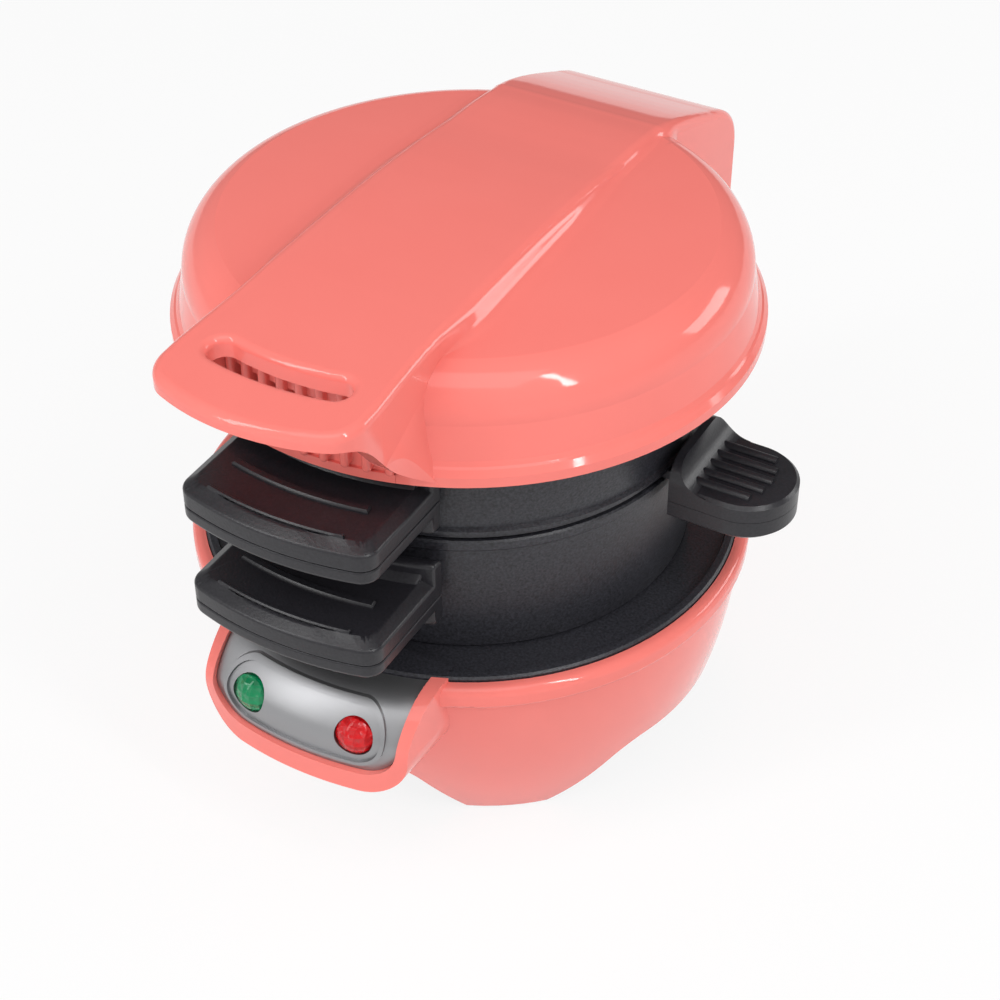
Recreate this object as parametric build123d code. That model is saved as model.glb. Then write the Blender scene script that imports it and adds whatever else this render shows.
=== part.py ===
"""Breakfast sandwich maker: base with its hot plate, two hinged rings, a swing-out plate and a lid.

Everything is modelled about the upright axis of the rings: X to the right, Y to the back,
Z up from the table. The finished pieces are moved sideways together at the end, so that the
origin lies on the table under the middle of the whole object.
"""
from build123d import *
import math
import os

# ---- Driving sizes, in millimetres -----------------------------------------------------------

# Heights of the stack, up from the table
RIM_TOP = 60.8              # top of the base's rim
PLATE_SUNK = 0.8            # bottom plate's cooking face below the rim
LOWER_RING_H = 31.9
RING_GAP = 2.8              # room between the rings, which the cooking plate fills
UPPER_RING_H = 22.0
LID_LIFT = 0.8              # lid's rim above the upper ring
LID_H = 29.5                # lid from its rim to the highest point of the raised band

# Base housing
BASE_RIM_R = 68.0
BASE_RIM_BAND = 5.6         # height of the rim that stands proud of the wall
BASE_RIM_ROUND = 2.2
BASE_RIM_PROUD = 1.8        # rim stands this far out of the wall under it
BASE_FOOT_R = 53.5          # wall at the table
BASE_FOOT_SET_BACK = 8.0    # the foot's circle lies this far behind the rings' axis
BASE_BULGE = 2.2            # how far the wall swells out of a straight taper
BASE_WALL = 2.4
SKIRT_LIFT = 0.8            # skirt's lower edge above the table
ARCH_HEIGHT = 21.0
ARCH_SLOPE = 10.0           # sideways run of each end of an arch
ARCH_CORNER_R = 9.0
FRONT_ARCH_HALF = 12.5
SIDE_ARCH_FRONT = 21.0      # front end of the side arch's flat top, ahead of the rings' axis
SIDE_ARCH_BACK = 34.0
LEDGE_WIDTH = 3.0           # shelf inside the rim that the bottom plate rests on
LEDGE_T = 2.8
COVER_SCREW_X = 43.0
COVER_SCREW_FRONT = 29.0
COVER_SCREW_BACK = 39.0
BOSS_R = 4.0
BOSS_TOP = 41.0
BOSS_WEB_T = 2.4

# Pillar at the back that carries the hinge
TOWER_DROP = 11.5           # pillar's top below the hinge pin
TOWER_PLAY = 1.6            # between the bottom plate's edge and the pillar
TOWER_BACK = 8.4            # pillar's back behind the hinge pin, at the table
TOWER_SWELL = 0.6           # and how much further back it stands under the hinge
TOWER_CORNER_R = 5.0

# Panel and its frame on the front of the base
FRAME_HALF_WIDTH = 26.8
FRAME_DROP = 22.8           # frame's lower edge below the rim's top
FRAME_CORNER_R = 12.0
FRAME_DRAFT = 3.0           # degrees by which the frame's sides splay towards the wall
FRAME_PROUD = 1.2           # frame's crest in front of the panel
FRAME_DEPTH = 27.0          # the panel's box from its face back inside the wall
PANEL_HALF_WIDTH = 24.2
PANEL_DROP = 17.2
PANEL_CORNER_R = 8.5
PANEL_T = 2.0
PANEL_BACKING = 1.8         # housing wall behind the panel
PANEL_REACH = 9.0           # knee, where the top curve meets the flat face, beyond the rim
PANEL_KNEE_DROP = 6.3
PANEL_LEAN = 2.2            # the face's bottom edge stands out this much more
LENS_HALF_PITCH = 13.8
LENS_DROP = 8.4
LENS_R = 4.5
LENS_DOME = 2.4
LENS_FLANGE = 1.2           # flange's width and thickness, behind the backing
RING_TRACK_R = 7.4          # oblong raised line around the two lenses
RING_TRACK_W = 1.0
LAMP_R = 2.5
LAMP_LENGTH = 7.0
COLLAR_LENGTH = 6.0         # lamp holder's collar
COLLAR_T = 2.6

# Bottom plate
TRAY_INSET = 3.2            # tray's edge inside the base's rim
TRAY_LIP = 1.8              # lip's height above the cooking face
TRAY_LIP_WIDTH = 2.6
TRAY_T = 2.5
TRAY_LAND_HALF = 26.7       # wide land of the lip behind the panel
PLATE_BOSS = 1.5            # thicker middle of the plate, over the heating element
PLATE_BOSS_R = 46.0

# What heats the plates
ELEMENT_RING_R = 38.0
ELEMENT_R = 3.0
TERMINAL_HALF_PITCH = 7.0
TERMINAL_R = 1.2
TERMINAL_LENGTH = 9.0
REFLECTOR_R = 49.0
REFLECTOR_T = 0.8
REFLECTOR_DEPTH = 12.0
THERMOSTAT_R = 7.5
FUSE_Y = 18.0
FUSE_R = 2.0

# Underside of the base
COVER_LIFT = 2.0            # cover's lower face above the arches
COVER_T = 2.2
FOOT_R = 5.0
FOOT_T = 2.4
FOOT_PEG_R = 1.8
FOOT_PEG = 3.0
LEG_R = 6.2
FOOT_X = 28.5
FOOT_FRONT = 26.0
FOOT_BACK = 42.0
GLAND_R = 4.6
GLAND_Z = 14.0

# Rings
RING_BORE_R = 50.8
LOWER_RING_FOOT_R = 52.9
LOWER_RING_R = 54.2
UPPER_RING_R = 55.2
UPPER_RING_TAPER = 0.9
UPPER_RING_BEAD = 0.9       # bead around the upper ring's lower edge
RING_ROLL = 0.8             # rolled top edge

# Front handles
HANDLE_HALF_WIDTH = 23.6
HANDLE_FRONT = 84.3         # front of the bowed edge, ahead of the rings' axis
HANDLE_BOW = 3.6
HANDLE_ROOT_R = 58.4
HANDLE_TOP_T = 5.8
HANDLE_BOTTOM_T = 4.0
HANDLE_CORNER_R = 4.5
HANDLE_BEVEL = 2.6
HANDLE_BEVEL_DROP = 1.7
HANDLE_CHAMFER = 1.1        # around the lower half's underside
LOWER_SEAM_DROP = 11.0      # between the handle's halves, below the top of the ring
UPPER_SEAM_DROP = 9.8
GUARD_T = 3.0               # finger guard at the ring end
GUARD_RISE = 4.2
GUARD_COVE = 1.6            # hollow at the guard's foot
LUG_DROP = 3.4
FRONT_LINE_Y = 3.4          # thin raised line behind the front edge
FRONT_LINE_W = 1.0
BACK_LINE_Y = 13.0          # broad raised line
BACK_LINE_W = 2.2
RAISED_LINE_H = 0.8
LINE_HALF = 16.5
TONGUE_HALF_WIDTH = 11.0
TONGUE_T = 2.4
TONGUE_END = 76.0
SCREW_X = 7.0
SCREW_Y = 69.0

# Cooking plate and its handle
PLATE_R = 53.6
PLATE_T = 2.2
PIVOT_R = 61.5              # plate's pivot pin, straight ahead of the rings' axis
PIVOT_PIN_R = 1.5
PIVOT_HEAD_R = 2.7
PIVOT_BOSS_R = 4.0
SIDE_HANDLE_ROOT = 57.5
SIDE_HANDLE_TIP = 82.6
SIDE_HANDLE_HALF = 12.0
SIDE_HANDLE_Y = -1.0
SIDE_SEAM_DROP = 0.9        # between the side handle's halves, below the plate
SIDE_TOP_T = 4.2
SIDE_BOTTOM_T = 5.2
SIDE_RIB_R = 1.1
SIDE_RIB_GAP = 1.5
SIDE_RIB_LENGTH = 15.0
SIDE_RIB_COUNT = 5
SIDE_WALL_RISE = 6.4
SIDE_WALL_CORNER_R = 5.6
SIDE_WALL_T = 1.8
SIDE_TONGUE_HALF = 6.0
SIDE_TONGUE_END = 75.6
SIDE_SCREW_X = 68.0

# Hinge at the back
HINGE_Y = 89.0
HINGE_RISE = 1.8            # hinge pin above the lower ring's top
HINGE_PIN_R = 2.0
KNUCKLE_R = 7.6
EAR_R = 8.4                 # base's ears
EAR_T = 4.6
CHEEK_R = 10.0              # round end of the lid's cheeks
CHEEK_T = 3.0
BAND_HALF = 22.8            # half width of the lid's raised band
LOWER_KNUCKLE_T = 5.4

# Lid
LID_RIM_R = 67.3
LID_FLANGE_H = 4.2
LID_STEP = 2.1              # step above the flange, inside the rim
LID_WALL_INSET = 3.6        # top of the steep wall, inside the rim
LID_WALL_SHARE = 0.4        # how much of the way up to the crown the wall stays steep
LID_CROWN_INSET = 11.8      # where the flat crown turns into the shoulder, inside the rim
LID_CROWN_DROP = 3.9        # crown below the highest point of the band
LID_WALL = 2.2
BAND_FRONT = 91.5
BAND_FRONT_DROP = 2.5
BAND_CREST_Y = -24.0
BAND_TAIL_Y = 84.0
BAND_TAIL_DROP = 15.3
BAND_TAIL_SLOPE = 0.4       # fall of the band where it runs into the hood
BAND_EDGE_R = 2.0
HOOD_BACK_Y = 97.2
HOOD_RISE = 19.0            # hood's opening above the hinge pin
GRIP_HALF = 24.0            # the band widens to this at the grip
GRIP_EDGE = 3.4             # depth of the turned-down edge of the lid's grip
GRIP_LIP_R = 1.1            # rounding under that edge
GRIP_BOW = 6.0
GRIP_CORNER_R = 8.5
THROAT_BACK = 8.0           # grip's underside bends down this far behind its front
SHIN_RISE = 12.0            # and comes in again this far above the rim
SHIN_FRONT = 6.3
FLARE_DROP = 9.3            # the band's sides start to sweep out this far below the top
FLARE_HALF = 28.5           # and are this wide at the rim
FLARE_FRONT = 79.0
SLOT_HALF = 16.5
SLOT_WIDTH = 6.5
SLOT_Y = 75.3
SLOT_SAG = 1.3
SLOT_LIP_R = 1.6
SLOT_COLLAR = 4.6           # depth of the wall that hangs from the slot's edge
SLOT_COLLAR_T = 1.6
GRILLE_INSET = 0.7          # wall behind the ribs, inside the lid's rim
GRILLE_T = 1.6
GRILLE_RIB_R = 1.0
GRILLE_RIB_DEPTH = 2.0
GRILLE_RIB_PITCH = 4.7
GRILLE_RIB_COUNT = 9
GRILLE_RIB_LIFT = 3.2       # rounded lower end of the ribs above the rim
GRILLE_WINDOW_DROP = 12.6   # top of the grille's windows below the top
GRILLE_WINDOW_H = 9.0
BAFFLE_GAP = 4.4            # from the grille in to the wall behind it
BAFFLE_T = 1.6

# Inside of the lid
LINER_T = 3.0
LINER_WALL_T = 2.0
LINER_WIDTH = 10.9          # from the lid's rim in to the hot plate
TOP_PLATE_T = 4.5
TOP_FLANGE = 1.1
LID_BOSS_R = 2.7
LID_SCREW_LENGTH = 10.0
SCREW_SINK = 0.3

# Running and seating room
PIN_CLEARANCE = 0.05        # radial, pins in knuckles
SEAT_GAP = 0.1              # between pieces fixed to each other
STACK_GAP = 0.3             # between stacked pieces that part when opened
SIDE_PLAY = 0.3             # between neighbouring knuckles
ELEMENT_GAP = 0.05

# Screws
SCREW_R = 1.3
SCREW_HEAD_R = 2.5
SCREW_HEAD_T = 1.5

# ---- Values worked out from the driving sizes -------------------------------------------------

WALL_TOP = RIM_TOP - BASE_RIM_BAND
BASE_WALL_R = BASE_RIM_R - BASE_RIM_PROUD
TRAY_R = BASE_RIM_R - TRAY_INSET
PLATE_FLOOR = RIM_TOP - PLATE_SUNK
LOWER_RING_BOTTOM = PLATE_FLOOR + STACK_GAP
LOWER_RING_TOP = LOWER_RING_BOTTOM + LOWER_RING_H
UPPER_RING_BOTTOM = LOWER_RING_TOP + RING_GAP
UPPER_RING_TOP = UPPER_RING_BOTTOM + UPPER_RING_H
LID_FACE_Z = UPPER_RING_TOP + STACK_GAP
LID_RIM_BOTTOM = UPPER_RING_TOP + LID_LIFT
LID_APEX = LID_RIM_BOTTOM + LID_H
HINGE_Z = LOWER_RING_TOP + HINGE_RISE
LOWER_SEAM_Z = LOWER_RING_TOP - LOWER_SEAM_DROP
UPPER_SEAM_Z = UPPER_RING_TOP - UPPER_SEAM_DROP
TOWER_TOP = HINGE_Z - TOWER_DROP
FRAME_BOTTOM = RIM_TOP - FRAME_DROP
PANEL_BOTTOM = RIM_TOP - PANEL_DROP
PANEL_KNEE_R = BASE_RIM_R + PANEL_REACH
PANEL_KNEE_Z = RIM_TOP - PANEL_KNEE_DROP
PANEL_TOE_R = PANEL_KNEE_R + PANEL_LEAN
FRAME_BACK_R = PANEL_KNEE_R - FRAME_DEPTH
LENS_Z = RIM_TOP - LENS_DROP
PLATE_BOTTOM = LOWER_RING_TOP + (RING_GAP - PLATE_T) / 2
PLATE_TOP = PLATE_BOTTOM + PLATE_T
PLATE_UNDERSIDE = PLATE_FLOOR - TRAY_T - PLATE_BOSS
SIDE_SEAM_Z = PLATE_BOTTOM - SIDE_SEAM_DROP
LEDGE_TOP = PLATE_FLOOR - TRAY_T - SEAT_GAP
EAR_OUT = BAND_HALF - CHEEK_T - SIDE_PLAY
EAR_IN = EAR_OUT - EAR_T
LOWER_KNUCKLE_OUT = EAR_IN - SIDE_PLAY
LOWER_KNUCKLE_IN = LOWER_KNUCKLE_OUT - LOWER_KNUCKLE_T
UPPER_KNUCKLE_HALF = LOWER_KNUCKLE_IN - SIDE_PLAY
TOWER_FRONT = TRAY_R + TOWER_PLAY
TOWER_INSIDE = REFLECTOR_R + 4.0
COVER_BOTTOM = ARCH_HEIGHT + COVER_LIFT
COVER_TOP = COVER_BOTTOM + COVER_T
LENS_DEPTH = PANEL_T + PANEL_BACKING + 3 * SEAT_GAP
LENS_FLANGE_R = LENS_R + LENS_FLANGE
LID_CROWN_Z = LID_APEX - LID_CROWN_DROP
LID_FLANGE_TOP = LID_RIM_BOTTOM + LID_FLANGE_H
LID_SHOULDER_Z = LID_FLANGE_TOP + (LID_CROWN_Z - LID_FLANGE_TOP) * LID_WALL_SHARE
LID_SHOULDER_R = LID_RIM_R - LID_WALL_INSET
LID_STEP_R = LID_RIM_R - LID_STEP
LID_CROWN_EDGE_R = LID_RIM_R - LID_CROWN_INSET
BAND_FRONT_Z = LID_APEX - BAND_FRONT_DROP
BAND_TAIL_Z = LID_APEX - BAND_TAIL_DROP
HOOD_BOTTOM_Z = HINGE_Z + HOOD_RISE
FLARE_TOP = LID_APEX - FLARE_DROP
GRILLE_WINDOW_TOP = LID_APEX - GRILLE_WINDOW_DROP
EYE_HALF = BAND_HALF - CHEEK_T
GRILLE_R = LID_RIM_R - GRILLE_INSET
TOP_PLATE_R = LID_RIM_R - LINER_WIDTH
LID_SCREW_R = TOP_PLATE_R + TOP_FLANGE + LID_BOSS_R + STACK_GAP
LINER_TOP = LID_FACE_Z + LINER_T
TOP_PLATE_TOP = LID_FACE_Z + TOP_PLATE_T
FOOT_PLACES = [(side * FOOT_X, y) for side in (-1, 1) for y in (-FOOT_FRONT, FOOT_BACK)]
COVER_SCREWS = [(side * COVER_SCREW_X, y)
                for side in (-1, 1) for y in (-COVER_SCREW_FRONT, COVER_SCREW_BACK)]
TERMINALS = [(x, math.sqrt(ELEMENT_RING_R ** 2 - TERMINAL_HALF_PITCH ** 2))
             for x in (-TERMINAL_HALF_PITCH, TERMINAL_HALF_PITCH)]
LID_SCREWS = [(LID_SCREW_R * math.cos(math.radians(a)), LID_SCREW_R * math.sin(math.radians(a)))
              for a in (-30, 30, 150, 210)]

PARTS = {}


# ---- Helpers ---------------------------------------------------------------------------------

LOW = (Align.CENTER, Align.CENTER, Align.MIN)


def block(x0, x1, y0, y1, z0, z1):
    """A box between two corners."""
    return Pos((x0 + x1) / 2, (y0 + y1) / 2, z0) * Box(x1 - x0, y1 - y0, z1 - z0, align=LOW)


def post(radius, z0, z1, x=0.0, y=0.0):
    """An upright cylinder."""
    return Pos(x, y, z0) * Cylinder(radius, z1 - z0, align=LOW)


def turned(*points):
    """A closed outline of (radius, height) points turned about the rings' axis."""
    return revolve(Plane.XZ * make_face(Polyline(*points, close=True)), Axis.Z)


def side_cut(outline, half_width):
    """An outline drawn in (Y, Z), widened to both sides."""
    return extrude(Plane.YZ * outline, half_width, both=True)


def cross_pin(radius, half_width, y, z):
    """A cylinder across the object."""
    return Pos(0, y, z) * Rot(0, 90, 0) * Cylinder(radius, 2 * half_width)


def knuckle(radius, x0, x1):
    """A hinge knuckle about the rear pin, from x0 to x1."""
    return Pos((x0 + x1) / 2, HINGE_Y, HINGE_Z) * Rot(0, 90, 0) * Cylinder(radius, x1 - x0)


def hinge_bore():
    """The bore for the rear pin, right across the object."""
    return cross_pin(HINGE_PIN_R + PIN_CLEARANCE, BAND_HALF + 5, HINGE_Y, HINGE_Z)


def screw(x, y, head_z, tip_z):
    """A screw with its head at head_z and its tip at tip_z, above or below the head."""
    up = 1 if tip_z > head_z else -1
    head = post(SCREW_HEAD_R, *sorted((head_z, head_z + up * SCREW_HEAD_T)), x, y)
    return head + post(SCREW_R, *sorted((head_z, tip_z)), x, y)


def screw_room(x, y, head_z, tip_z):
    """The hole with its counterbore that takes a screw."""
    up = 1 if tip_z > head_z else -1
    low, high = sorted((head_z - up * 12, head_z + up * (SCREW_HEAD_T + SEAT_GAP)))
    head = post(SCREW_HEAD_R + SEAT_GAP, low, high, x, y)
    low, high = sorted((head_z, tip_z + up * SEAT_GAP))
    return head + post(SCREW_R + SEAT_GAP, low, high, x, y)


def joined(pieces):
    """Several separate solids kept in one node."""
    return Compound(list(pieces))


# ---- Base housing ----------------------------------------------------------------------------

def wall_radius(share):
    """The base wall's radius at a share of its height, from foot to rim."""
    straight = BASE_FOOT_R + (BASE_WALL_R - BASE_FOOT_R) * share
    return straight + BASE_BULGE * 4 * share * (1 - share)


def wall_centre(share):
    """How far behind the rings' axis the wall's circle lies at a share of its height."""
    return BASE_FOOT_SET_BACK * (1 - share)


def wall_form(inset):
    """The base's tapering body, drawn in by inset, and leaning back towards its foot."""
    shares = [0, 1 / 3, 2 / 3, 1]
    rings = [Pos(0, wall_centre(s), WALL_TOP * s) * Circle(wall_radius(s) - inset) for s in shares]
    return loft(rings)


def face_form(inset):
    """The body behind the panel's skin: flat to a knee, then curved back to the tray's edge."""
    top = (TRAY_R + SEAT_GAP, RIM_TOP - inset)
    crest = (top[0] + 0.66 * (PANEL_KNEE_R - top[0]), RIM_TOP - 2.0 - inset)
    knee = (PANEL_KNEE_R - inset, PANEL_KNEE_Z - 0.4 * inset)
    toe = (PANEL_TOE_R - inset, PANEL_BOTTOM - 10)
    skin = Spline(top, crest, knee, toe, tangents=((1, 0), (0.12, -1)))
    back = Polyline(toe, (FRAME_BACK_R, toe[1]), (FRAME_BACK_R, top[1]), top)
    return revolve(Plane.XZ * make_face([skin, *back.edges()]), Axis.Z)


def front_form(half_width, bottom, corner, draft):
    """A rounded frame outline on the front, as wide as stated at the panel's face.

    With a draft its sides splay outwards towards the wall behind."""
    depth = PANEL_TOE_R + 4 - FRAME_BACK_R
    splay = (PANEL_KNEE_R - FRAME_BACK_R) * math.tan(math.radians(draft))
    half, low, high = half_width + splay, bottom - splay, RIM_TOP + 14
    outline = Pos(0, (low + high) / 2) * Rectangle(2 * half, high - low)
    outline = fillet(outline.vertices().sort_by(Axis.Y)[:2], corner + splay / 2)
    return extrude(Plane.XZ.offset(FRAME_BACK_R) * outline, depth, taper=draft)


def lens_plane(side):
    """The plane on the panel's face where a lens sits, facing out."""
    share = (PANEL_KNEE_Z - LENS_Z) / (PANEL_KNEE_Z - PANEL_BOTTOM)
    radius = PANEL_KNEE_R + share * (PANEL_TOE_R - PANEL_KNEE_R) * 0.8
    turn = math.asin(side * LENS_HALF_PITCH / radius)
    tilt = math.atan2(PANEL_TOE_R - PANEL_KNEE_R, PANEL_KNEE_Z - PANEL_BOTTOM)
    normal = (math.sin(turn) * math.cos(tilt), -math.cos(turn) * math.cos(tilt), math.sin(tilt))
    place = (radius * math.sin(turn), -radius * math.cos(turn), LENS_Z)
    return Plane(origin=place, x_dir=(math.cos(turn), math.sin(turn), 0), z_dir=normal)


def lens_holes(flange_room):
    """Holes for the two lenses, wider behind the backing wall where flange_room is asked for."""
    depth = LENS_DEPTH - 2 * SEAT_GAP
    holes = []
    for side in (-1, 1):
        hole = Cylinder(LENS_R + SEAT_GAP, 24)
        if flange_room:
            hole += Pos(0, 0, -depth - 10) * Cylinder(LENS_FLANGE_R + 2 * SEAT_GAP, 10, align=LOW)
        holes.append(lens_plane(side) * hole)
    return holes[0] + holes[1]


def arch(half_top, height, slope, centre, depth, plane):
    """A low arch with sloping, rounded ends, cut up from the table."""
    outline = Polyline((centre - half_top - slope, -1), (centre - half_top, height),
                       (centre + half_top, height), (centre + half_top + slope, -1), close=True)
    shape = make_face(outline)
    shape = fillet(shape.vertices().sort_by(Axis.Y)[2:], ARCH_CORNER_R)
    return extrude(plane * shape, depth)


def tower_form(inset):
    """The hollow pillar at the back that carries the hinge."""
    back = HINGE_Y + TOWER_BACK - inset
    front = TOWER_FRONT + inset
    side = make_face(Polyline(
        (TOWER_INSIDE, -1), (back, -1), (back + TOWER_SWELL, TOWER_TOP - 5), (back, TOWER_TOP - inset),
        (front + 3, TOWER_TOP - inset), (front, RIM_TOP + 2), (front, LEDGE_TOP - LEDGE_T),
        (TOWER_INSIDE, LEDGE_TOP - LEDGE_T), close=True))
    pillar = side_cut(side, EAR_OUT - inset)
    corners = pillar.edges().filter_by(Axis.Z, tolerance=5).group_by(Axis.Y)[-1]
    return fillet(corners, TOWER_CORNER_R - inset)


def base_housing():
    rim = post(BASE_RIM_R, WALL_TOP, RIM_TOP)
    rim = fillet(rim.edges().filter_by(GeomType.CIRCLE).sort_by(Axis.Z)[-1], BASE_RIM_ROUND)
    rim = fillet(rim.edges().filter_by(GeomType.CIRCLE).sort_by(Axis.Z)[0], BASE_RIM_ROUND / 2)
    frame = front_form(FRAME_HALF_WIDTH, FRAME_BOTTOM, FRAME_CORNER_R, FRAME_DRAFT)
    frame = frame & face_form(-FRAME_PROUD)
    body = wall_form(0) + rim + frame + tower_form(0)

    hollow = front_form(FRAME_HALF_WIDTH - BASE_WALL, FRAME_BOTTOM + BASE_WALL,
                        FRAME_CORNER_R - BASE_WALL, FRAME_DRAFT)
    hollow = hollow & face_form(PANEL_T + SEAT_GAP + PANEL_BACKING)
    hollow = hollow - block(-40, 40, -90, 0, LEDGE_TOP - LEDGE_T, RIM_TOP)
    body -= wall_form(BASE_WALL)
    body -= hollow
    body -= tower_form(BASE_WALL)
    body -= post(TRAY_R - LEDGE_WIDTH, WALL_TOP - 1, RIM_TOP + 1)
    body -= post(TRAY_R + 2 * SEAT_GAP, LEDGE_TOP, RIM_TOP + 20)
    pocket = front_form(PANEL_HALF_WIDTH + SEAT_GAP, PANEL_BOTTOM - SEAT_GAP, PANEL_CORNER_R, 0)
    body -= pocket - face_form(PANEL_T + SEAT_GAP)
    body -= lens_holes(True)

    side_middle = (SIDE_ARCH_BACK - SIDE_ARCH_FRONT) / 2
    side_half = (SIDE_ARCH_BACK + SIDE_ARCH_FRONT) / 2
    body -= arch(side_half, ARCH_HEIGHT, ARCH_SLOPE, side_middle, 90, Plane.YZ)
    body -= arch(side_half, ARCH_HEIGHT, ARCH_SLOPE, side_middle, -90, Plane.YZ)
    body -= arch(FRONT_ARCH_HALF, ARCH_HEIGHT, ARCH_SLOPE, 0, 90, Plane.XZ)
    body -= block(-90, 90, -90, 110, -5, SKIRT_LIFT)

    for side in (-1, 1):
        ear = side_cut(make_face(Polyline(
            (HINGE_Y - EAR_R + 0.4, TOWER_TOP - 1), (HINGE_Y + EAR_R - 0.4, TOWER_TOP - 1),
            (HINGE_Y + EAR_R, HINGE_Z), (HINGE_Y - EAR_R, HINGE_Z), close=True)), EAR_T / 2)
        ear += cross_pin(EAR_R, EAR_T / 2, HINGE_Y, HINGE_Z)
        body += Pos(side * (EAR_IN + EAR_T / 2), 0, 0) * ear
    for x, y in COVER_SCREWS:
        outward = Rot(0, 0, math.degrees(math.atan2(y, x)))
        web = Pos(x, y, 0) * outward * block(0, 14, -BOSS_WEB_T / 2, BOSS_WEB_T / 2,
                                             COVER_TOP + SEAT_GAP, BOSS_TOP)
        boss = post(BOSS_R, COVER_TOP + SEAT_GAP, BOSS_TOP, x, y)
        body += (boss + web) & wall_form(1)
        body -= post(SCREW_R + SEAT_GAP, COVER_TOP, COVER_TOP + 9, x, y)
    body -= hinge_bore()
    body -= Pos(0, HINGE_Y + TOWER_BACK, GLAND_Z) * Rot(90, 0, 0) * Cylinder(GLAND_R, 30)
    return body


PARTS["base_housing"] = base_housing()


# ---- Panel, lenses and lamps -----------------------------------------------------------------

def control_panel():
    outline = front_form(PANEL_HALF_WIDTH, PANEL_BOTTOM, PANEL_CORNER_R, 0)
    plate = (face_form(0) - face_form(PANEL_T)) & outline
    track = Plane.XZ.offset(FRAME_BACK_R) * Pos(0, LENS_Z) * SlotCenterToCenter(2 * LENS_HALF_PITCH,
                                                                               2 * RING_TRACK_R)
    gap = Plane.XZ.offset(FRAME_BACK_R) * Pos(0, LENS_Z) * SlotCenterToCenter(
        2 * LENS_HALF_PITCH, 2 * (RING_TRACK_R - RING_TRACK_W))
    rib = extrude(track - gap, PANEL_TOE_R) & (face_form(-RING_TRACK_W / 2) - face_form(PANEL_T / 2))
    well = post(TRAY_R + SEAT_GAP, LEDGE_TOP - 10, RIM_TOP + 10)
    return plate + rib - lens_holes(False) - well


def lens(side):
    """A domed lens on a barrel, with a flange behind the housing's backing wall."""
    place = lens_plane(side)
    sphere_r = (LENS_R ** 2 + LENS_DOME ** 2) / (2 * LENS_DOME)
    dome = Pos(0, 0, LENS_DOME - sphere_r) * Sphere(sphere_r) & Pos(0, 0, 5) * Box(20, 20, 10)
    barrel = Pos(0, 0, -LENS_DEPTH) * Cylinder(LENS_R, LENS_DEPTH, align=LOW)
    flange = Pos(0, 0, -LENS_DEPTH - LENS_FLANGE) * Cylinder(LENS_FLANGE_R, LENS_FLANGE, align=LOW)
    socket = Pos(0, 0, -LENS_DEPTH - 2) * Cylinder(LAMP_R + 2 * SEAT_GAP, LENS_DEPTH, align=LOW)
    return place * (dome + barrel + flange - socket)


def lamp(side):
    """A neon lamp whose rounded tip stands inside its lens."""
    glass = Pos(0, 0, -LENS_DEPTH - 2 - LAMP_LENGTH) * Cylinder(LAMP_R, LAMP_LENGTH + 3, align=LOW)
    glass = fillet(glass.edges().sort_by(Axis.Z)[-1], LAMP_R * 0.8)
    return lens_plane(side) * glass


def lamp_holder():
    """A strip behind the panel with a collar for each lamp."""
    depth = LENS_DEPTH + LENS_FLANGE + SEAT_GAP
    middle = -PANEL_KNEE_R + depth + COLLAR_LENGTH - 1
    strip = block(-LENS_HALF_PITCH, LENS_HALF_PITCH, middle - 1, middle + 1, LENS_Z - 3, LENS_Z + 1)
    for side in (-1, 1):
        strip -= lens_plane(side) * Cylinder(LAMP_R + 1.2, 40)
        collar = Pos(0, 0, -depth - COLLAR_LENGTH) * Cylinder(LAMP_R + COLLAR_T, COLLAR_LENGTH, align=LOW)
        bore = Pos(0, 0, -depth - COLLAR_LENGTH - 2) * Cylinder(LAMP_R + SEAT_GAP, 12, align=LOW)
        strip += lens_plane(side) * (collar - bore)
    return strip


PARTS["control_panel"] = control_panel()
PARTS["preheat_lens"] = lens(-1)
PARTS["power_lens"] = lens(1)
PARTS["preheat_lamp"] = lamp(-1)
PARTS["power_lamp"] = lamp(1)
PARTS["lamp_holder"] = lamp_holder()


# ---- Bottom plate and what heats it ----------------------------------------------------------

def bottom_plate():
    """The tray: a flat cooking face with a low lip, wider in a land behind the panel."""
    floor = PLATE_FLOOR
    lip = floor + TRAY_LIP
    tray = turned((0, floor - TRAY_T - PLATE_BOSS), (PLATE_BOSS_R, floor - TRAY_T - PLATE_BOSS),
                  (PLATE_BOSS_R, floor - TRAY_T), (TRAY_R, floor - TRAY_T), (TRAY_R, lip - 0.5),
                  (TRAY_R - 0.5, lip), (TRAY_R - TRAY_LIP_WIDTH + 0.5, lip),
                  (TRAY_R - TRAY_LIP_WIDTH, floor), (0, floor))
    land = block(-TRAY_LAND_HALF, TRAY_LAND_HALF, -TRAY_R, -LOWER_RING_R - 1, floor - 1, lip)
    land = land - post(LOWER_RING_FOOT_R + 4, floor - 2, lip + 1)
    land = land & post(TRAY_R - 0.6, floor - 2, lip + 1)
    return tray + land


def heating_element(z, up):
    """A ring of eight-sided tube with two upright terminals."""
    corner, flat = ELEMENT_R, ELEMENT_R * math.tan(math.radians(22.5))
    tube = [(corner, -flat), (corner, flat), (flat, corner), (-flat, corner), (-corner, flat),
            (-corner, -flat), (-flat, -corner), (flat, -corner)]
    ring = turned(*((ELEMENT_RING_R + r, z + h) for r, h in tube))
    for x, y in TERMINALS:
        ring += post(TERMINAL_R, *sorted((z, z + up * TERMINAL_LENGTH)), x, y)
    return ring


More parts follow.
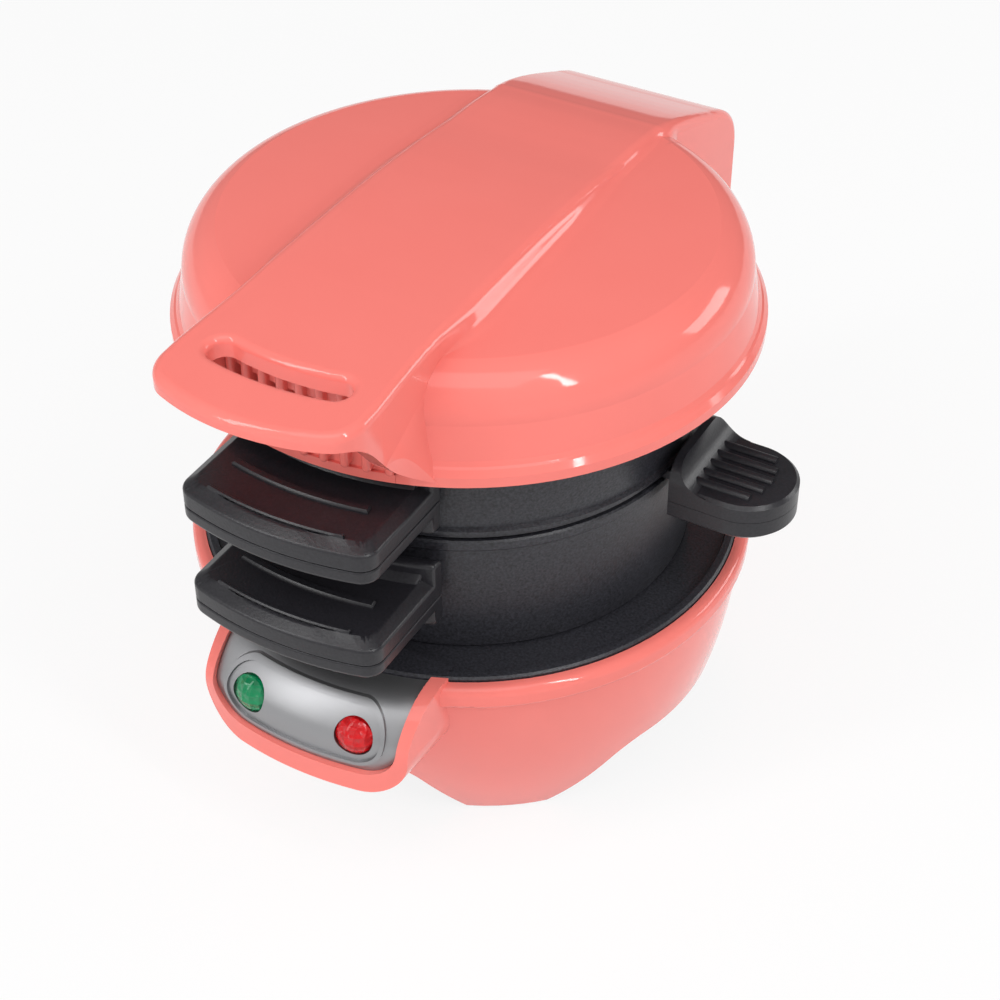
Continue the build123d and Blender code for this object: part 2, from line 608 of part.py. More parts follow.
def reflector(rim_z, floor_z):
    """A spun dish whose rim touches the plate that it backs."""
    way = 1 if rim_z > floor_z else -1
    t = way * REFLECTOR_T
    inner = REFLECTOR_R - REFLECTOR_T
    dish = turned((0, floor_z), (REFLECTOR_R - 3 * REFLECTOR_T, floor_z),
                  (REFLECTOR_R, floor_z + 3 * t), (REFLECTOR_R, rim_z - t),
                  (REFLECTOR_R + 2 * REFLECTOR_T, rim_z - t), (REFLECTOR_R + 2 * REFLECTOR_T, rim_z),
                  (inner, rim_z), (inner, floor_z + 3.5 * t),
                  (inner - 2.5 * REFLECTOR_T, floor_z + t), (0, floor_z + t))
    for x, y in TERMINALS:
        dish -= post(TERMINAL_R + 1, *sorted((rim_z, floor_z - t)), x, y)
    return dish


def thermostat(x, y, seat_z, up):
    """A disc thermostat with its cap against the plate and two tabs."""
    def level(a, b):
        return sorted((seat_z + up * a, seat_z + up * b))
    body = post(THERMOSTAT_R, *level(0, 3.2), x, y)
    body += post(THERMOSTAT_R - 1.3, *level(3.0, 7.0), x, y)
    return body + block(x - THERMOSTAT_R - 3.5, x + THERMOSTAT_R + 3.5, y - 2, y + 2, *level(5.5, 6.3))


PARTS["bottom_plate"] = bottom_plate()
PARTS["bottom_heating_element"] = heating_element(PLATE_UNDERSIDE - ELEMENT_R - ELEMENT_GAP, -1)
PARTS["bottom_reflector"] = reflector(LEDGE_TOP, LEDGE_TOP - REFLECTOR_DEPTH)
PARTS["bottom_thermostat"] = thermostat(0, 0, PLATE_UNDERSIDE - SEAT_GAP, -1)


def thermal_fuse():
    """A small sealed fuse held by a clip under the plate."""
    z = PLATE_UNDERSIDE - FUSE_R - 2 * SEAT_GAP
    fuse = cross_pin(FUSE_R, 6, FUSE_Y, z) + cross_pin(FUSE_R * 0.3, 12, FUSE_Y, z)
    return fuse + block(-3, 3, FUSE_Y - 3.4, FUSE_Y + 3.4, z + 0.4, PLATE_UNDERSIDE - SEAT_GAP)


PARTS["thermal_fuse"] = thermal_fuse()


# ---- Underside of the base -------------------------------------------------------------------

def bottom_cover():
    """A plate across the housing at the top of the arches, with a leg down to each foot."""
    share = COVER_BOTTOM / WALL_TOP
    radius = wall_radius(share) - BASE_WALL - 2 * SEAT_GAP - 0.2
    plate = post(radius, COVER_BOTTOM, COVER_TOP, 0, wall_centre(share))
    back = HINGE_Y + TOWER_BACK - BASE_WALL - 2 * SEAT_GAP
    half = EAR_OUT - BASE_WALL - 2 * SEAT_GAP
    tail = block(-half, half, 40, back, COVER_BOTTOM, COVER_TOP)
    corners = tail.edges().filter_by(Axis.Z).group_by(Axis.Y)[-1]
    plate += fillet(corners, TOWER_CORNER_R - BASE_WALL)
    for x, y in FOOT_PLACES:
        plate += post(LEG_R, FOOT_T, COVER_TOP - 1, x, y)
        plate -= post(FOOT_PEG_R + SEAT_GAP, 0, FOOT_T + FOOT_PEG + SEAT_GAP, x, y)
    for x, y in COVER_SCREWS:
        plate -= screw_room(x, y, COVER_BOTTOM, COVER_TOP + 9)
    for x in [-GLAND_R * 1.2, GLAND_R * 1.2]:
        for y in (20.0, 30.0, 40.0):
            plate -= Pos(x, y, COVER_TOP) * Box(3, 5, 10)
    return plate


def rubber_foot(x, y):
    pad = post(FOOT_R, 0, FOOT_T - SEAT_GAP, x, y)
    pad = chamfer(pad.edges().sort_by(Axis.Z)[0], 0.5)
    return pad + post(FOOT_PEG_R, FOOT_T - 0.5, FOOT_T + FOOT_PEG, x, y)


def cord_gland():
    """A flanged bush in the back wall, where the mains lead would come in."""
    back = HINGE_Y + TOWER_BACK
    sleeve = Pos(0, back - 3, GLAND_Z) * Rot(90, 0, 0) * Cylinder(GLAND_R - SEAT_GAP, 9)
    flange = Pos(0, back + 0.9, GLAND_Z) * Rot(90, 0, 0) * Cylinder(GLAND_R + 1.8, 1.4)
    inner = Pos(0, back - BASE_WALL - 2.2, GLAND_Z) * Rot(90, 0, 0) * Cylinder(GLAND_R + 1.2, 2.0)
    bore = Pos(0, back, GLAND_Z) * Rot(90, 0, 0) * Cylinder(GLAND_R - 1.6, 40)
    return sleeve + flange + inner - bore


def terminal_block():
    """A three-way screw terminal standing on the bottom cover."""
    z = COVER_TOP + SEAT_GAP
    body = block(-12, 12, 62, 72, z, z + 10)
    for x in (-8.0, 0.0, 8.0):
        body -= post(2.0, z + 5, z + 11, x, 67)
        body -= Pos(x, 67, z + 3) * Rot(90, 0, 0) * Cylinder(1.4, 20)
    return body


PARTS["bottom_cover"] = bottom_cover()
PARTS["rubber_feet"] = joined(rubber_foot(x, y) for x, y in FOOT_PLACES)
PARTS["cover_screws"] = joined(screw(x, y, COVER_BOTTOM, COVER_TOP + 8.5)
                               for x, y in COVER_SCREWS)
PARTS["cord_gland"] = cord_gland()
PARTS["terminal_block"] = terminal_block()
PARTS["hinge_pin"] = cross_pin(HINGE_PIN_R, BAND_HALF - 0.4, HINGE_Y, HINGE_Z)


# ---- Rings -----------------------------------------------------------------------------------

def arm(low_near, high_near, x0, x1):
    """A hinge arm from a ring's back wall up to its knuckle on the pin."""
    root = RING_BORE_R + 1.2
    side = make_face(Polyline((root, low_near), (root, high_near),
                              (HINGE_Y - 3, HINGE_Z + KNUCKLE_R * 0.9),
                              (HINGE_Y - 1, HINGE_Z - KNUCKLE_R * 0.97), close=True))
    piece = Pos((x0 + x1) / 2, 0, 0) * side_cut(side, (x1 - x0) / 2)
    return piece + knuckle(KNUCKLE_R, x0, x1)


def tongue(seam_z, ring_r):
    """The flat tab at the front that the handle's halves clamp."""
    tab = block(-TONGUE_HALF_WIDTH, TONGUE_HALF_WIDTH, -TONGUE_END, -ring_r + 1.5,
                seam_z - TONGUE_T / 2, seam_z + TONGUE_T / 2)
    for side in (-1, 1):
        tab -= post(SCREW_R + SEAT_GAP, seam_z - 5, seam_z + 5, side * SCREW_X, -SCREW_Y)
    return tab


def ring_wall(foot_z, top_z, foot_r, top_r, bead):
    """A ring with slightly tapered sides, a rolled top edge and a bead at its foot."""
    outline = [(RING_BORE_R, foot_z + 0.3), (RING_BORE_R + 0.4, foot_z)]
    if bead:
        outline += [(foot_r + bead, foot_z), (foot_r + bead, foot_z + 0.8), (foot_r, foot_z + 1.4)]
    else:
        outline += [(foot_r - 0.4, foot_z), (foot_r, foot_z + 0.4)]
    outline += [(top_r - 0.5, top_z - 3.0), (top_r, top_z - 2.4), (top_r, top_z - RING_ROLL / 2),
                (top_r - RING_ROLL / 2, top_z), (RING_BORE_R + 0.4, top_z), (RING_BORE_R, top_z - 0.4)]
    return turned(*outline)


def lower_ring():
    ring = ring_wall(LOWER_RING_BOTTOM, LOWER_RING_TOP, LOWER_RING_FOOT_R, LOWER_RING_R, 0)
    for side in (-1, 1):
        x0, x1 = sorted((side * LOWER_KNUCKLE_IN, side * LOWER_KNUCKLE_OUT))
        ring += arm(LOWER_RING_TOP - 8, LOWER_RING_TOP - 0.6, x0, x1)
    ring += tongue(LOWER_SEAM_Z, LOWER_RING_R)
    return ring - post(RING_BORE_R, 50, 130) - hinge_bore()


def upper_ring():
    ring = ring_wall(UPPER_RING_BOTTOM, UPPER_RING_TOP, UPPER_RING_R - UPPER_RING_TAPER,
                     UPPER_RING_R, UPPER_RING_BEAD)
    ring += arm(UPPER_RING_BOTTOM + 3, UPPER_RING_TOP - 8, -UPPER_KNUCKLE_HALF,
                UPPER_KNUCKLE_HALF)
    ring += tongue(UPPER_SEAM_Z, UPPER_RING_R)
    ring += post(PIVOT_BOSS_R, UPPER_RING_BOTTOM, UPPER_SEAM_Z, 0, -PIVOT_R)
    ring += block(-2, 2, -PIVOT_R, -RING_BORE_R - 2, UPPER_RING_BOTTOM + 2, UPPER_SEAM_Z)
    ring -= post(PIVOT_PIN_R + PIN_CLEARANCE, UPPER_RING_BOTTOM - 1, UPPER_SEAM_Z - 2, 0, -PIVOT_R)
    return ring - post(RING_BORE_R, 50, 130) - hinge_bore()


PARTS["lower_ring"] = lower_ring()
PARTS["upper_ring"] = upper_ring()


# ---- Front handles of the rings --------------------------------------------------------------

def handle_outline(inset=0.0):
    """The plan of a front handle: a bowed front, rounded corners and a root that hugs the ring."""
    half, front = HANDLE_HALF_WIDTH - inset, -HANDLE_FRONT + inset
    corner_y = front + HANDLE_BOW
    bow = ThreePointArc((-half, corner_y), (0, front), (half, corner_y))
    rest = Polyline((half, corner_y), (half, -RING_BORE_R), (-half, -RING_BORE_R), (-half, corner_y))
    plan = make_face([bow, *rest.edges()])
    plan = fillet(plan.vertices().sort_by(Axis.Y)[:2], HANDLE_CORNER_R - inset / 2)
    return plan - Circle(HANDLE_ROOT_R + inset)


def arc_rib(front_y, width, top_z):
    """A bowed, round-backed line that stands up from a handle's top face."""
    sag = HANDLE_BOW * (LINE_HALF / HANDLE_HALF_WIDTH) ** 2
    line = ThreePointArc((-LINE_HALF, front_y + sag), (0, front_y), (LINE_HALF, front_y + sag))
    bar = extrude(Pos(0, 0, top_z - RAISED_LINE_H) * trace(line, width), 2 * RAISED_LINE_H)
    return chamfer(bar.edges().group_by(Axis.Z)[-1], min(RAISED_LINE_H * 0.5, width * 0.3))


def handle_top(seam_z):
    """Top half: bevelled edge, two raised lines and a finger guard at the ring end."""
    z0, z1 = seam_z + SEAT_GAP / 2, seam_z + HANDLE_TOP_T
    bevel_z = z1 - HANDLE_BEVEL_DROP
    body = extrude(Pos(0, 0, z0) * handle_outline(), bevel_z - z0)
    body += loft([Pos(0, 0, bevel_z) * handle_outline(),
                  Pos(0, 0, z1) * handle_outline(HANDLE_BEVEL)])
    guard_r = HANDLE_ROOT_R + GUARD_T
    guard = extrude(Pos(0, 0, z0) * (handle_outline() & Circle(guard_r)), z1 - z0 + GUARD_RISE)
    body += fillet(guard.edges().group_by(Axis.Z)[-1], GUARD_T * 0.4)
    cove = turned((guard_r - 0.5, z1 - 0.5), (guard_r + GUARD_COVE, z1 - 0.5),
                  (guard_r + GUARD_COVE, z1), (guard_r, z1 + GUARD_COVE),
                  (guard_r - 0.5, z1 + GUARD_COVE))
    body += cove & extrude(Pos(0, 0, z0) * handle_outline(HANDLE_BEVEL), z1 - z0 + GUARD_RISE)
    body += arc_rib(-HANDLE_FRONT + FRONT_LINE_Y, FRONT_LINE_W, z1)
    body += arc_rib(-HANDLE_FRONT + BACK_LINE_Y, BACK_LINE_W, z1)
    return body - handle_room(seam_z)


def handle_room(seam_z):
    """Room for the ring's tongue between the halves."""
    room = block(-TONGUE_HALF_WIDTH - SEAT_GAP, TONGUE_HALF_WIDTH + SEAT_GAP, -TONGUE_END - SEAT_GAP,
                 -RING_BORE_R, seam_z - TONGUE_T / 2 - SEAT_GAP, seam_z + TONGUE_T / 2 + SEAT_GAP)
    for side in (-1, 1):
        room += post(SCREW_R + SEAT_GAP, seam_z - 1, seam_z + 3.4, side * SCREW_X, -SCREW_Y)
    return room


def handle_bottom(seam_z):
    """Bottom half, with a short lug below the ring end and room for the screws."""
    z0, z1 = seam_z - HANDLE_BOTTOM_T, seam_z - SEAT_GAP / 2
    body = extrude(Pos(0, 0, z0) * handle_outline(), z1 - z0)
    low = body.edges().group_by(Axis.Z)[0]
    outer = [e for e in low if abs(math.hypot(e.center().X, e.center().Y) - HANDLE_ROOT_R) > 4]
    body = chamfer(outer, HANDLE_CHAMFER)
    lug = extrude(Pos(0, 0, z0 - LUG_DROP) * (handle_outline() & Circle(HANDLE_ROOT_R + GUARD_T)),
                  LUG_DROP + HANDLE_CHAMFER + 0.5)
    body += fillet(lug.edges().group_by(Axis.Z)[0], GUARD_T * 0.3)
    for side in (-1, 1):
        body -= screw_room(side * SCREW_X, -SCREW_Y, z0 + SCREW_SINK, z1 + 1)
    return body - handle_room(seam_z)


def handle_screws(seam_z):
    head_z = seam_z - HANDLE_BOTTOM_T + SCREW_SINK
    return joined(screw(side * SCREW_X, -SCREW_Y, head_z, seam_z + 3.2) for side in (-1, 1))


PARTS["lower_handle_top"] = handle_top(LOWER_SEAM_Z)
PARTS["lower_handle_bottom"] = handle_bottom(LOWER_SEAM_Z)
PARTS["lower_handle_screws"] = handle_screws(LOWER_SEAM_Z)
PARTS["upper_handle_top"] = handle_top(UPPER_SEAM_Z)
PARTS["upper_handle_bottom"] = handle_bottom(UPPER_SEAM_Z) - post(
    PIVOT_BOSS_R + STACK_GAP, UPPER_RING_BOTTOM, UPPER_SEAM_Z + 1, 0, -PIVOT_R)
PARTS["upper_handle_screws"] = handle_screws(UPPER_SEAM_Z)


# ---- Cooking plate and its handle ------------------------------------------------------------

def cooking_plate():
    """The round plate with its pivot ear at the front and its handle's tongue at the side."""
    plate = post(PLATE_R, PLATE_BOTTOM, PLATE_TOP)
    plate = chamfer(plate.edges(), 0.5)
    ear = post(PIVOT_BOSS_R, PLATE_BOTTOM, PLATE_TOP, 0, -PIVOT_R)
    ear += block(-PIVOT_BOSS_R, PIVOT_BOSS_R, -PIVOT_R, -PLATE_R + 3, PLATE_BOTTOM,
                 PLATE_TOP)
    tab = block(PLATE_R - 3, SIDE_TONGUE_END, SIDE_HANDLE_Y - SIDE_TONGUE_HALF, SIDE_HANDLE_Y + SIDE_TONGUE_HALF,
                PLATE_BOTTOM, PLATE_TOP)
    plate += ear + tab
    plate -= post(PIVOT_PIN_R + PIN_CLEARANCE, PLATE_BOTTOM - 1, PLATE_BOTTOM + 5, 0, -PIVOT_R)
    plate -= post(SCREW_R + SEAT_GAP, PLATE_BOTTOM - 1, PLATE_BOTTOM + 5, SIDE_SCREW_X, SIDE_HANDLE_Y)
    return plate


def side_outline(inset=0.0):
    """Plan of the side handle: straight sides and a round tip."""
    half = SIDE_HANDLE_HALF - inset
    start = SIDE_HANDLE_ROOT
    end = SIDE_HANDLE_TIP - SIDE_HANDLE_HALF
    bar = Pos((start + end) / 2, SIDE_HANDLE_Y) * Rectangle(end - start, 2 * half)
    return bar + Pos(end, SIDE_HANDLE_Y) * Circle(half)


def side_room():
    """Room for the plate's tongue between the side handle's halves."""
    room = block(PLATE_R - 6, SIDE_TONGUE_END + SEAT_GAP, SIDE_HANDLE_Y - SIDE_TONGUE_HALF - SEAT_GAP,
                 SIDE_HANDLE_Y + SIDE_TONGUE_HALF + SEAT_GAP, PLATE_BOTTOM - SEAT_GAP,
                 PLATE_TOP + SEAT_GAP)
    return room + post(SCREW_R + SEAT_GAP, PLATE_BOTTOM - 2, SIDE_SEAM_Z + 3, SIDE_SCREW_X,
                       SIDE_HANDLE_Y)


def side_handle_top():
    """Ribbed thumb rest that rises into a cupped wall at its root."""
    z0, z1 = SIDE_SEAM_Z + SEAT_GAP / 2, SIDE_SEAM_Z + SIDE_TOP_T
    body = extrude(Pos(0, 0, z0) * side_outline(), z1 - z0)
    rim = [e for e in body.edges().group_by(Axis.Z)[-1] if e.center().X > SIDE_HANDLE_ROOT + 3]
    body = chamfer(rim, 0.8)
    root = SIDE_HANDLE_ROOT
    wall = make_face([
        *Polyline((root + 9, z1 - 0.5), (root + 9, z1 - 1), (root, z1 - 1),
                  (root, z1 + SIDE_WALL_RISE), (root + SIDE_WALL_T, z1 + SIDE_WALL_RISE)).edges(),
        ThreePointArc((root + SIDE_WALL_T, z1 + SIDE_WALL_RISE), (root + 3.6, z1 + 2.0),
                      (root + 9, z1 - 0.5))])
    cup = extrude(Plane.XZ.offset(-SIDE_HANDLE_Y) * wall, SIDE_HANDLE_HALF, both=True)
    corners = cup.edges().filter_by(Axis.X).group_by(Axis.Z)[-1]
    cup = fillet(corners, SIDE_WALL_CORNER_R)
    body += cup
    for i in range(SIDE_RIB_COUNT):
        step = i - (SIDE_RIB_COUNT - 1) / 2
        y = SIDE_HANDLE_Y + step * (2 * SIDE_RIB_R + SIDE_RIB_GAP)
        x1 = SIDE_HANDLE_TIP - 5.5 - 0.55 * step ** 2
        x0 = x1 - SIDE_RIB_LENGTH
        body += Pos((x0 + x1) / 2, y, z1) * Rot(0, 90, 0) * Cylinder(SIDE_RIB_R, x1 - x0)
    return body - side_room()


def side_handle_bottom():
    z0, z1 = SIDE_SEAM_Z - SIDE_BOTTOM_T, SIDE_SEAM_Z - SEAT_GAP / 2
    body = extrude(Pos(0, 0, z0) * side_outline(), z1 - z0)
    rim = [e for e in body.edges().group_by(Axis.Z)[0] if e.center().X > SIDE_HANDLE_ROOT + 3]
    body = chamfer(rim, 1.4)
    body += block(SIDE_HANDLE_ROOT, SIDE_HANDLE_ROOT + 2.4, SIDE_HANDLE_Y - 7, SIDE_HANDLE_Y + 7,
                  z0 - 1.6, z0 + 1)
    body -= screw_room(SIDE_SCREW_X, SIDE_HANDLE_Y, z0 + 1.4, z1 + 1)
    return body - side_room()


PARTS["cooking_plate"] = cooking_plate()
PARTS["plate_handle_top"] = side_handle_top()
PARTS["plate_handle_bottom"] = side_handle_bottom()
PARTS["plate_handle_screw"] = screw(SIDE_SCREW_X, SIDE_HANDLE_Y, SIDE_SEAM_Z - SIDE_BOTTOM_T + 1.4,
                                    SIDE_SEAM_Z + 2.8)


def pivot_pin():
    """Upright pin through the plate's ear, headed below it."""
    z0 = PLATE_BOTTOM - SEAT_GAP
    shank = post(PIVOT_PIN_R, z0 - 0.2, UPPER_SEAM_Z - 2.3, 0, -PIVOT_R)
    return shank + post(PIVOT_HEAD_R, z0 - 1.0, z0, 0, -PIVOT_R)


PARTS["plate_pivot_pin"] = pivot_pin()

# ---- Lid -------------------------------------------------------------------------------------

def dome_form(inset):
    """The lid's round body: a rim flange, a step, a steep wall, a tight shoulder and a flat crown."""
    low = LID_RIM_BOTTOM - (1 if inset else 0)
    flange = LID_FLANGE_TOP - inset
    start = (LID_SHOULDER_R - inset, LID_SHOULDER_Z - inset)
    middle = (LID_SHOULDER_R - 2.2 - inset, LID_CROWN_Z - 6.0 - inset)
    end = (LID_CROWN_EDGE_R - inset, LID_CROWN_Z - 2.0 - inset)
    shoulder = ThreePointArc(start, middle, end)
    crown = ThreePointArc(end, (LID_CROWN_EDGE_R / 2, LID_CROWN_Z - 0.5 - inset),
                          (0, LID_CROWN_Z - inset))
    sides = Polyline((0, LID_CROWN_Z - inset), (0, low), (LID_RIM_R - inset, low),
                     (LID_RIM_R - inset, flange - 1.8), (LID_RIM_R - 1.0 - inset, flange - 0.4),
                     (LID_STEP_R + 0.6 - inset, flange), (LID_STEP_R - inset, flange + 1.0), start)
    return revolve(Plane.XZ * make_face([shoulder, crown, *sides.edges()]), Axis.Z)


def band_crest(inset):
    """The raised band's top line in (Y, Z), from the grip's front over to the tail."""
    return Spline((-BAND_FRONT, BAND_FRONT_Z - inset), (BAND_CREST_Y, LID_APEX - inset),
                  (BAND_TAIL_Y, BAND_TAIL_Z - inset), tangents=((1, 0.07), (1, -BAND_TAIL_SLOPE)))


def band_side(inset):
    """The band's side outline: grip, crest, hood at the back and cheeks down to the hinge."""
    hood = HOOD_BACK_Y - inset
    hood_z = HOOD_BOTTOM_Z + 4
    tail = (BAND_TAIL_Y, BAND_TAIL_Z - inset)
    bend = Spline(tail, (hood, hood_z), tangents=((1, -BAND_TAIL_SLOPE), (0, -1)))
    front = (-BAND_FRONT, BAND_FRONT_Z - inset)
    if inset:
        deep = LID_RIM_BOTTOM - 40
        rest = Polyline((hood, hood_z), (hood, deep), (-BAND_FRONT, deep), front)
        return make_face([band_crest(inset), bend, *rest.edges()])
    edge = (-BAND_FRONT, BAND_FRONT_Z - GRIP_EDGE)
    throat = (-BAND_FRONT + THROAT_BACK, BAND_FRONT_Z - GRIP_EDGE - 1.0)
    shin = (-LID_RIM_R - SHIN_FRONT, LID_RIM_BOTTOM + SHIN_RISE)
    foot = (-LID_RIM_R + 7, LID_RIM_BOTTOM)
    under = Spline(foot, shin, throat, edge, tangents=((-1, 0.75), (-1, 0.06)))
    rest = Polyline((hood, hood_z), (hood, HINGE_Z), (HINGE_Y - 9.0, HINGE_Z - 3.0),
                    (LID_RIM_R - 4, LID_RIM_BOTTOM), foot)
    return make_face([band_crest(0), bend, *rest.edges(), under, Line(edge, front)])


def grip_plan(inset):
    """Plan of the band: a bowed front edge and sides that narrow behind the grip."""
    half, front = GRIP_HALF - inset, -BAND_FRONT + inset
    corner_y = front + GRIP_BOW
    bow = ThreePointArc((-half, corner_y), (0, front), (half, corner_y))
    narrow, back = BAND_HALF - inset, HINGE_Y + CHEEK_R + 5
    rest = Polyline((half, corner_y), (half, -FLARE_FRONT + 4), (narrow, -LID_CROWN_EDGE_R),
                    (narrow, back), (-narrow, back), (-narrow, -LID_CROWN_EDGE_R),
                    (-half, -FLARE_FRONT + 4), (-half, corner_y))
    plan = make_face([bow, *rest.edges()])
    return fillet(plan.vertices().sort_by(Axis.Y)[:2], GRIP_CORNER_R - inset)


def flare_form():
    """The skirts that sweep out from under the grip's sides to the rim."""
    foot_y = -math.sqrt(LID_RIM_R ** 2 - FLARE_HALF ** 2)
    start_y = -FLARE_FRONT
    plan, section = [], []
    for side in (-1, 1):
        plan.append(Spline((side * GRIP_HALF, start_y), (side * FLARE_HALF, foot_y),
                           tangents=((0, 1), (-side * foot_y, FLARE_HALF))))
        section.append(Spline((side * BAND_HALF, FLARE_TOP), (side * FLARE_HALF, LID_RIM_BOTTOM),
                              tangents=((side * 0.15, -1), (side * 0.75, -1))))
    back_y = -LID_CROWN_EDGE_R + 20
    frame = Polyline((FLARE_HALF, foot_y), (FLARE_HALF, back_y), (-FLARE_HALF, back_y),
                     (-FLARE_HALF, foot_y))
    plan = make_face([*plan, *frame.edges(), Line((-GRIP_HALF, start_y), (GRIP_HALF, start_y))])
    lid = Polyline((BAND_HALF, FLARE_TOP), (-BAND_HALF, FLARE_TOP))
    sole = Line((-FLARE_HALF, LID_RIM_BOTTOM), (FLARE_HALF, LID_RIM_BOTTOM))
    section = make_face([*section, *lid.edges(), sole])
    flare = extrude(Plane.XZ * section, BAND_FRONT)
    flare = flare & extrude(Pos(0, 0, LID_RIM_BOTTOM) * plan, LID_H)
    return flare & side_cut(band_side(0), FLARE_HALF)


def slot_shape(extra):
    """The curved slot through the grip, with round ends, as much larger as stated."""
    half = SLOT_HALF - SLOT_WIDTH / 2
    line = ThreePointArc((-half, -SLOT_Y + SLOT_SAG), (0, -SLOT_Y), (half, -SLOT_Y + SLOT_SAG))
    shape = trace(line, SLOT_WIDTH + 2 * extra)
    for x in (-half, half):
        shape += Pos(x, -SLOT_Y + SLOT_SAG) * Circle(SLOT_WIDTH / 2 + extra)
    return shape


def band_form():
    """The solid band with its rounded edges and the slot's rounded mouth."""
    low, high = HINGE_Z - CHEEK_R - 5, LID_APEX + 5
    band = side_cut(band_side(0), GRIP_HALF) & extrude(Pos(0, 0, low) * grip_plan(0), high - low)
    crest = band.faces().filter_by(lambda f: f.normal_at().Z > 0.7 and f.center().Z > BAND_TAIL_Z)
    outline = [e for e in crest.edges() if e.center().Y < BAND_TAIL_Y - 2]
    band = fillet(outline, BAND_EDGE_R)
    band -= extrude(Pos(0, 0, LID_CROWN_Z - 14) * slot_shape(0), 30)
    mouth = [e for e in band.edges() if e.center().Z > BAND_FRONT_Z - 1
             and e.bounding_box().min.Y > -SLOT_Y - SLOT_WIDTH and e.bounding_box().max.Y < -SLOT_Y + SLOT_WIDTH
             and abs(e.center().X) < SLOT_HALF + 0.1]
    return fillet(mouth, SLOT_LIP_R)


def lid_cover():
    """The coral shell: dome, raised band, grip with its slot, and cheeks with hinge eyes."""
    low, high = HINGE_Z - CHEEK_R - 5, LID_APEX + 5
    outer = dome_form(0) + band_form() + flare_form()
    outer += cross_pin(CHEEK_R, BAND_HALF, HINGE_Y, HINGE_Z)
    room = side_cut(band_side(LID_WALL), EYE_HALF)
    room = room & extrude(Pos(0, 0, low) * grip_plan(CHEEK_T), high - low)
    collar = extrude(Pos(0, 0, low) * slot_shape(SLOT_COLLAR_T), high - low)
    room -= collar - side_cut(band_side(SLOT_COLLAR), EYE_HALF)
    baffle_r = GRILLE_R - GRILLE_T - BAFFLE_GAP
    baffle = post(baffle_r, LINER_TOP + SEAT_GAP, high) - post(baffle_r - BAFFLE_T, low, high + 1)
    room -= baffle & block(-BAND_HALF, BAND_HALF, -BAND_FRONT, 0, low, high)
    shell = outer - dome_form(LID_WALL) - room
    shell += baffle & block(-EYE_HALF - 1, EYE_HALF + 1, -BAND_FRONT, 0, low, high) & dome_form(1)
    shell -= block(-EYE_HALF, EYE_HALF, HINGE_Y - 25, HINGE_Y + 25, low, HOOD_BOTTOM_Z)
    shell -= hinge_bore()
    for x, y in LID_SCREWS:
        shell += post(LID_BOSS_R, LINER_TOP + SEAT_GAP, LID_CROWN_Z, x, y) & dome_form(1)
        shell -= screw_room(x, y, LID_FACE_Z + SCREW_SINK, LID_FACE_Z + LID_SCREW_LENGTH)
    return shell


def lid_handle_grille():
    """The ribbed wall that closes the lid behind the grip, with a window between each two ribs."""
    half = EYE_HALF - SEAT_GAP
    top = LID_APEX
    wall = post(GRILLE_R, LID_RIM_BOTTOM, top) - post(GRILLE_R - GRILLE_T, LID_RIM_BOTTOM, top)
    wall += (post(LID_RIM_R, LID_RIM_BOTTOM, LID_RIM_BOTTOM + GRILLE_RIB_LIFT - GRILLE_RIB_R)
             - post(GRILLE_R - 1, LID_RIM_BOTTOM, top))
    for i in range(GRILLE_RIB_COUNT):
        x = (i - (GRILLE_RIB_COUNT - 1) / 2) * GRILLE_RIB_PITCH
        reach = GRILLE_R + GRILLE_RIB_DEPTH - GRILLE_RIB_R
        y, z = -math.sqrt(reach ** 2 - x ** 2), LID_RIM_BOTTOM + GRILLE_RIB_LIFT
        rib = post(GRILLE_RIB_R, z, top, x, y) + Pos(x, y, z) * Sphere(GRILLE_RIB_R)
        rib += block(x - GRILLE_RIB_R, x + GRILLE_RIB_R, y, y + GRILLE_RIB_DEPTH, z, top)
        wall += rib
    for i in range(GRILLE_RIB_COUNT - 1):
        x = (i - GRILLE_RIB_COUNT / 2 + 1) * GRILLE_RIB_PITCH
        half_w = GRILLE_RIB_PITCH / 2 - GRILLE_RIB_R
        wall -= block(x - half_w, x + half_w, -GRILLE_R - 1, -GRILLE_R / 2,
                      GRILLE_WINDOW_TOP - GRILLE_WINDOW_H, GRILLE_WINDOW_TOP)
    wall = wall & block(-half, half, -BAND_FRONT, -LID_RIM_R + 12, LID_RIM_BOTTOM, top)
    return wall & side_cut(band_side(LID_WALL + SEAT_GAP), half)


def lid_liner():
    """The dark ring under the lid that carries the hot plate, with a wall across the band's back."""
    edge = LID_RIM_R - LID_WALL - 2 * SEAT_GAP
    liner = turned((0, LID_FACE_Z), (edge, LID_FACE_Z), (edge, LID_FACE_Z + 0.5),
                   (edge - 2.1, LINER_TOP - 0.4), (edge - 2.1, LINER_TOP), (0, LINER_TOP))
    half = BAND_HALF - CHEEK_T - 2 * SEAT_GAP
    back = LID_STEP_R - LID_WALL - 2 * SEAT_GAP
    liner += block(-half, half, back - LINER_WALL_T, back, LID_FACE_Z, BAND_TAIL_Z - 4)
    liner -= post(TOP_PLATE_R + SEAT_GAP, LID_FACE_Z - 1, LINER_TOP + 1)
    for x, y in LID_SCREWS:
        liner -= screw_room(x, y, LID_FACE_Z + SCREW_SINK, LID_FACE_Z + LID_SCREW_LENGTH)
    return liner


def top_heating_plate():
    """The lid's hot plate, resting by its flange on the liner."""
    low = LINER_TOP + SEAT_GAP
    return turned((0, LID_FACE_Z), (TOP_PLATE_R - 0.8, LID_FACE_Z), (TOP_PLATE_R, LID_FACE_Z + 0.8),
                  (TOP_PLATE_R, low), (TOP_PLATE_R + TOP_FLANGE, low),
                  (TOP_PLATE_R + TOP_FLANGE, TOP_PLATE_TOP), (0, TOP_PLATE_TOP))


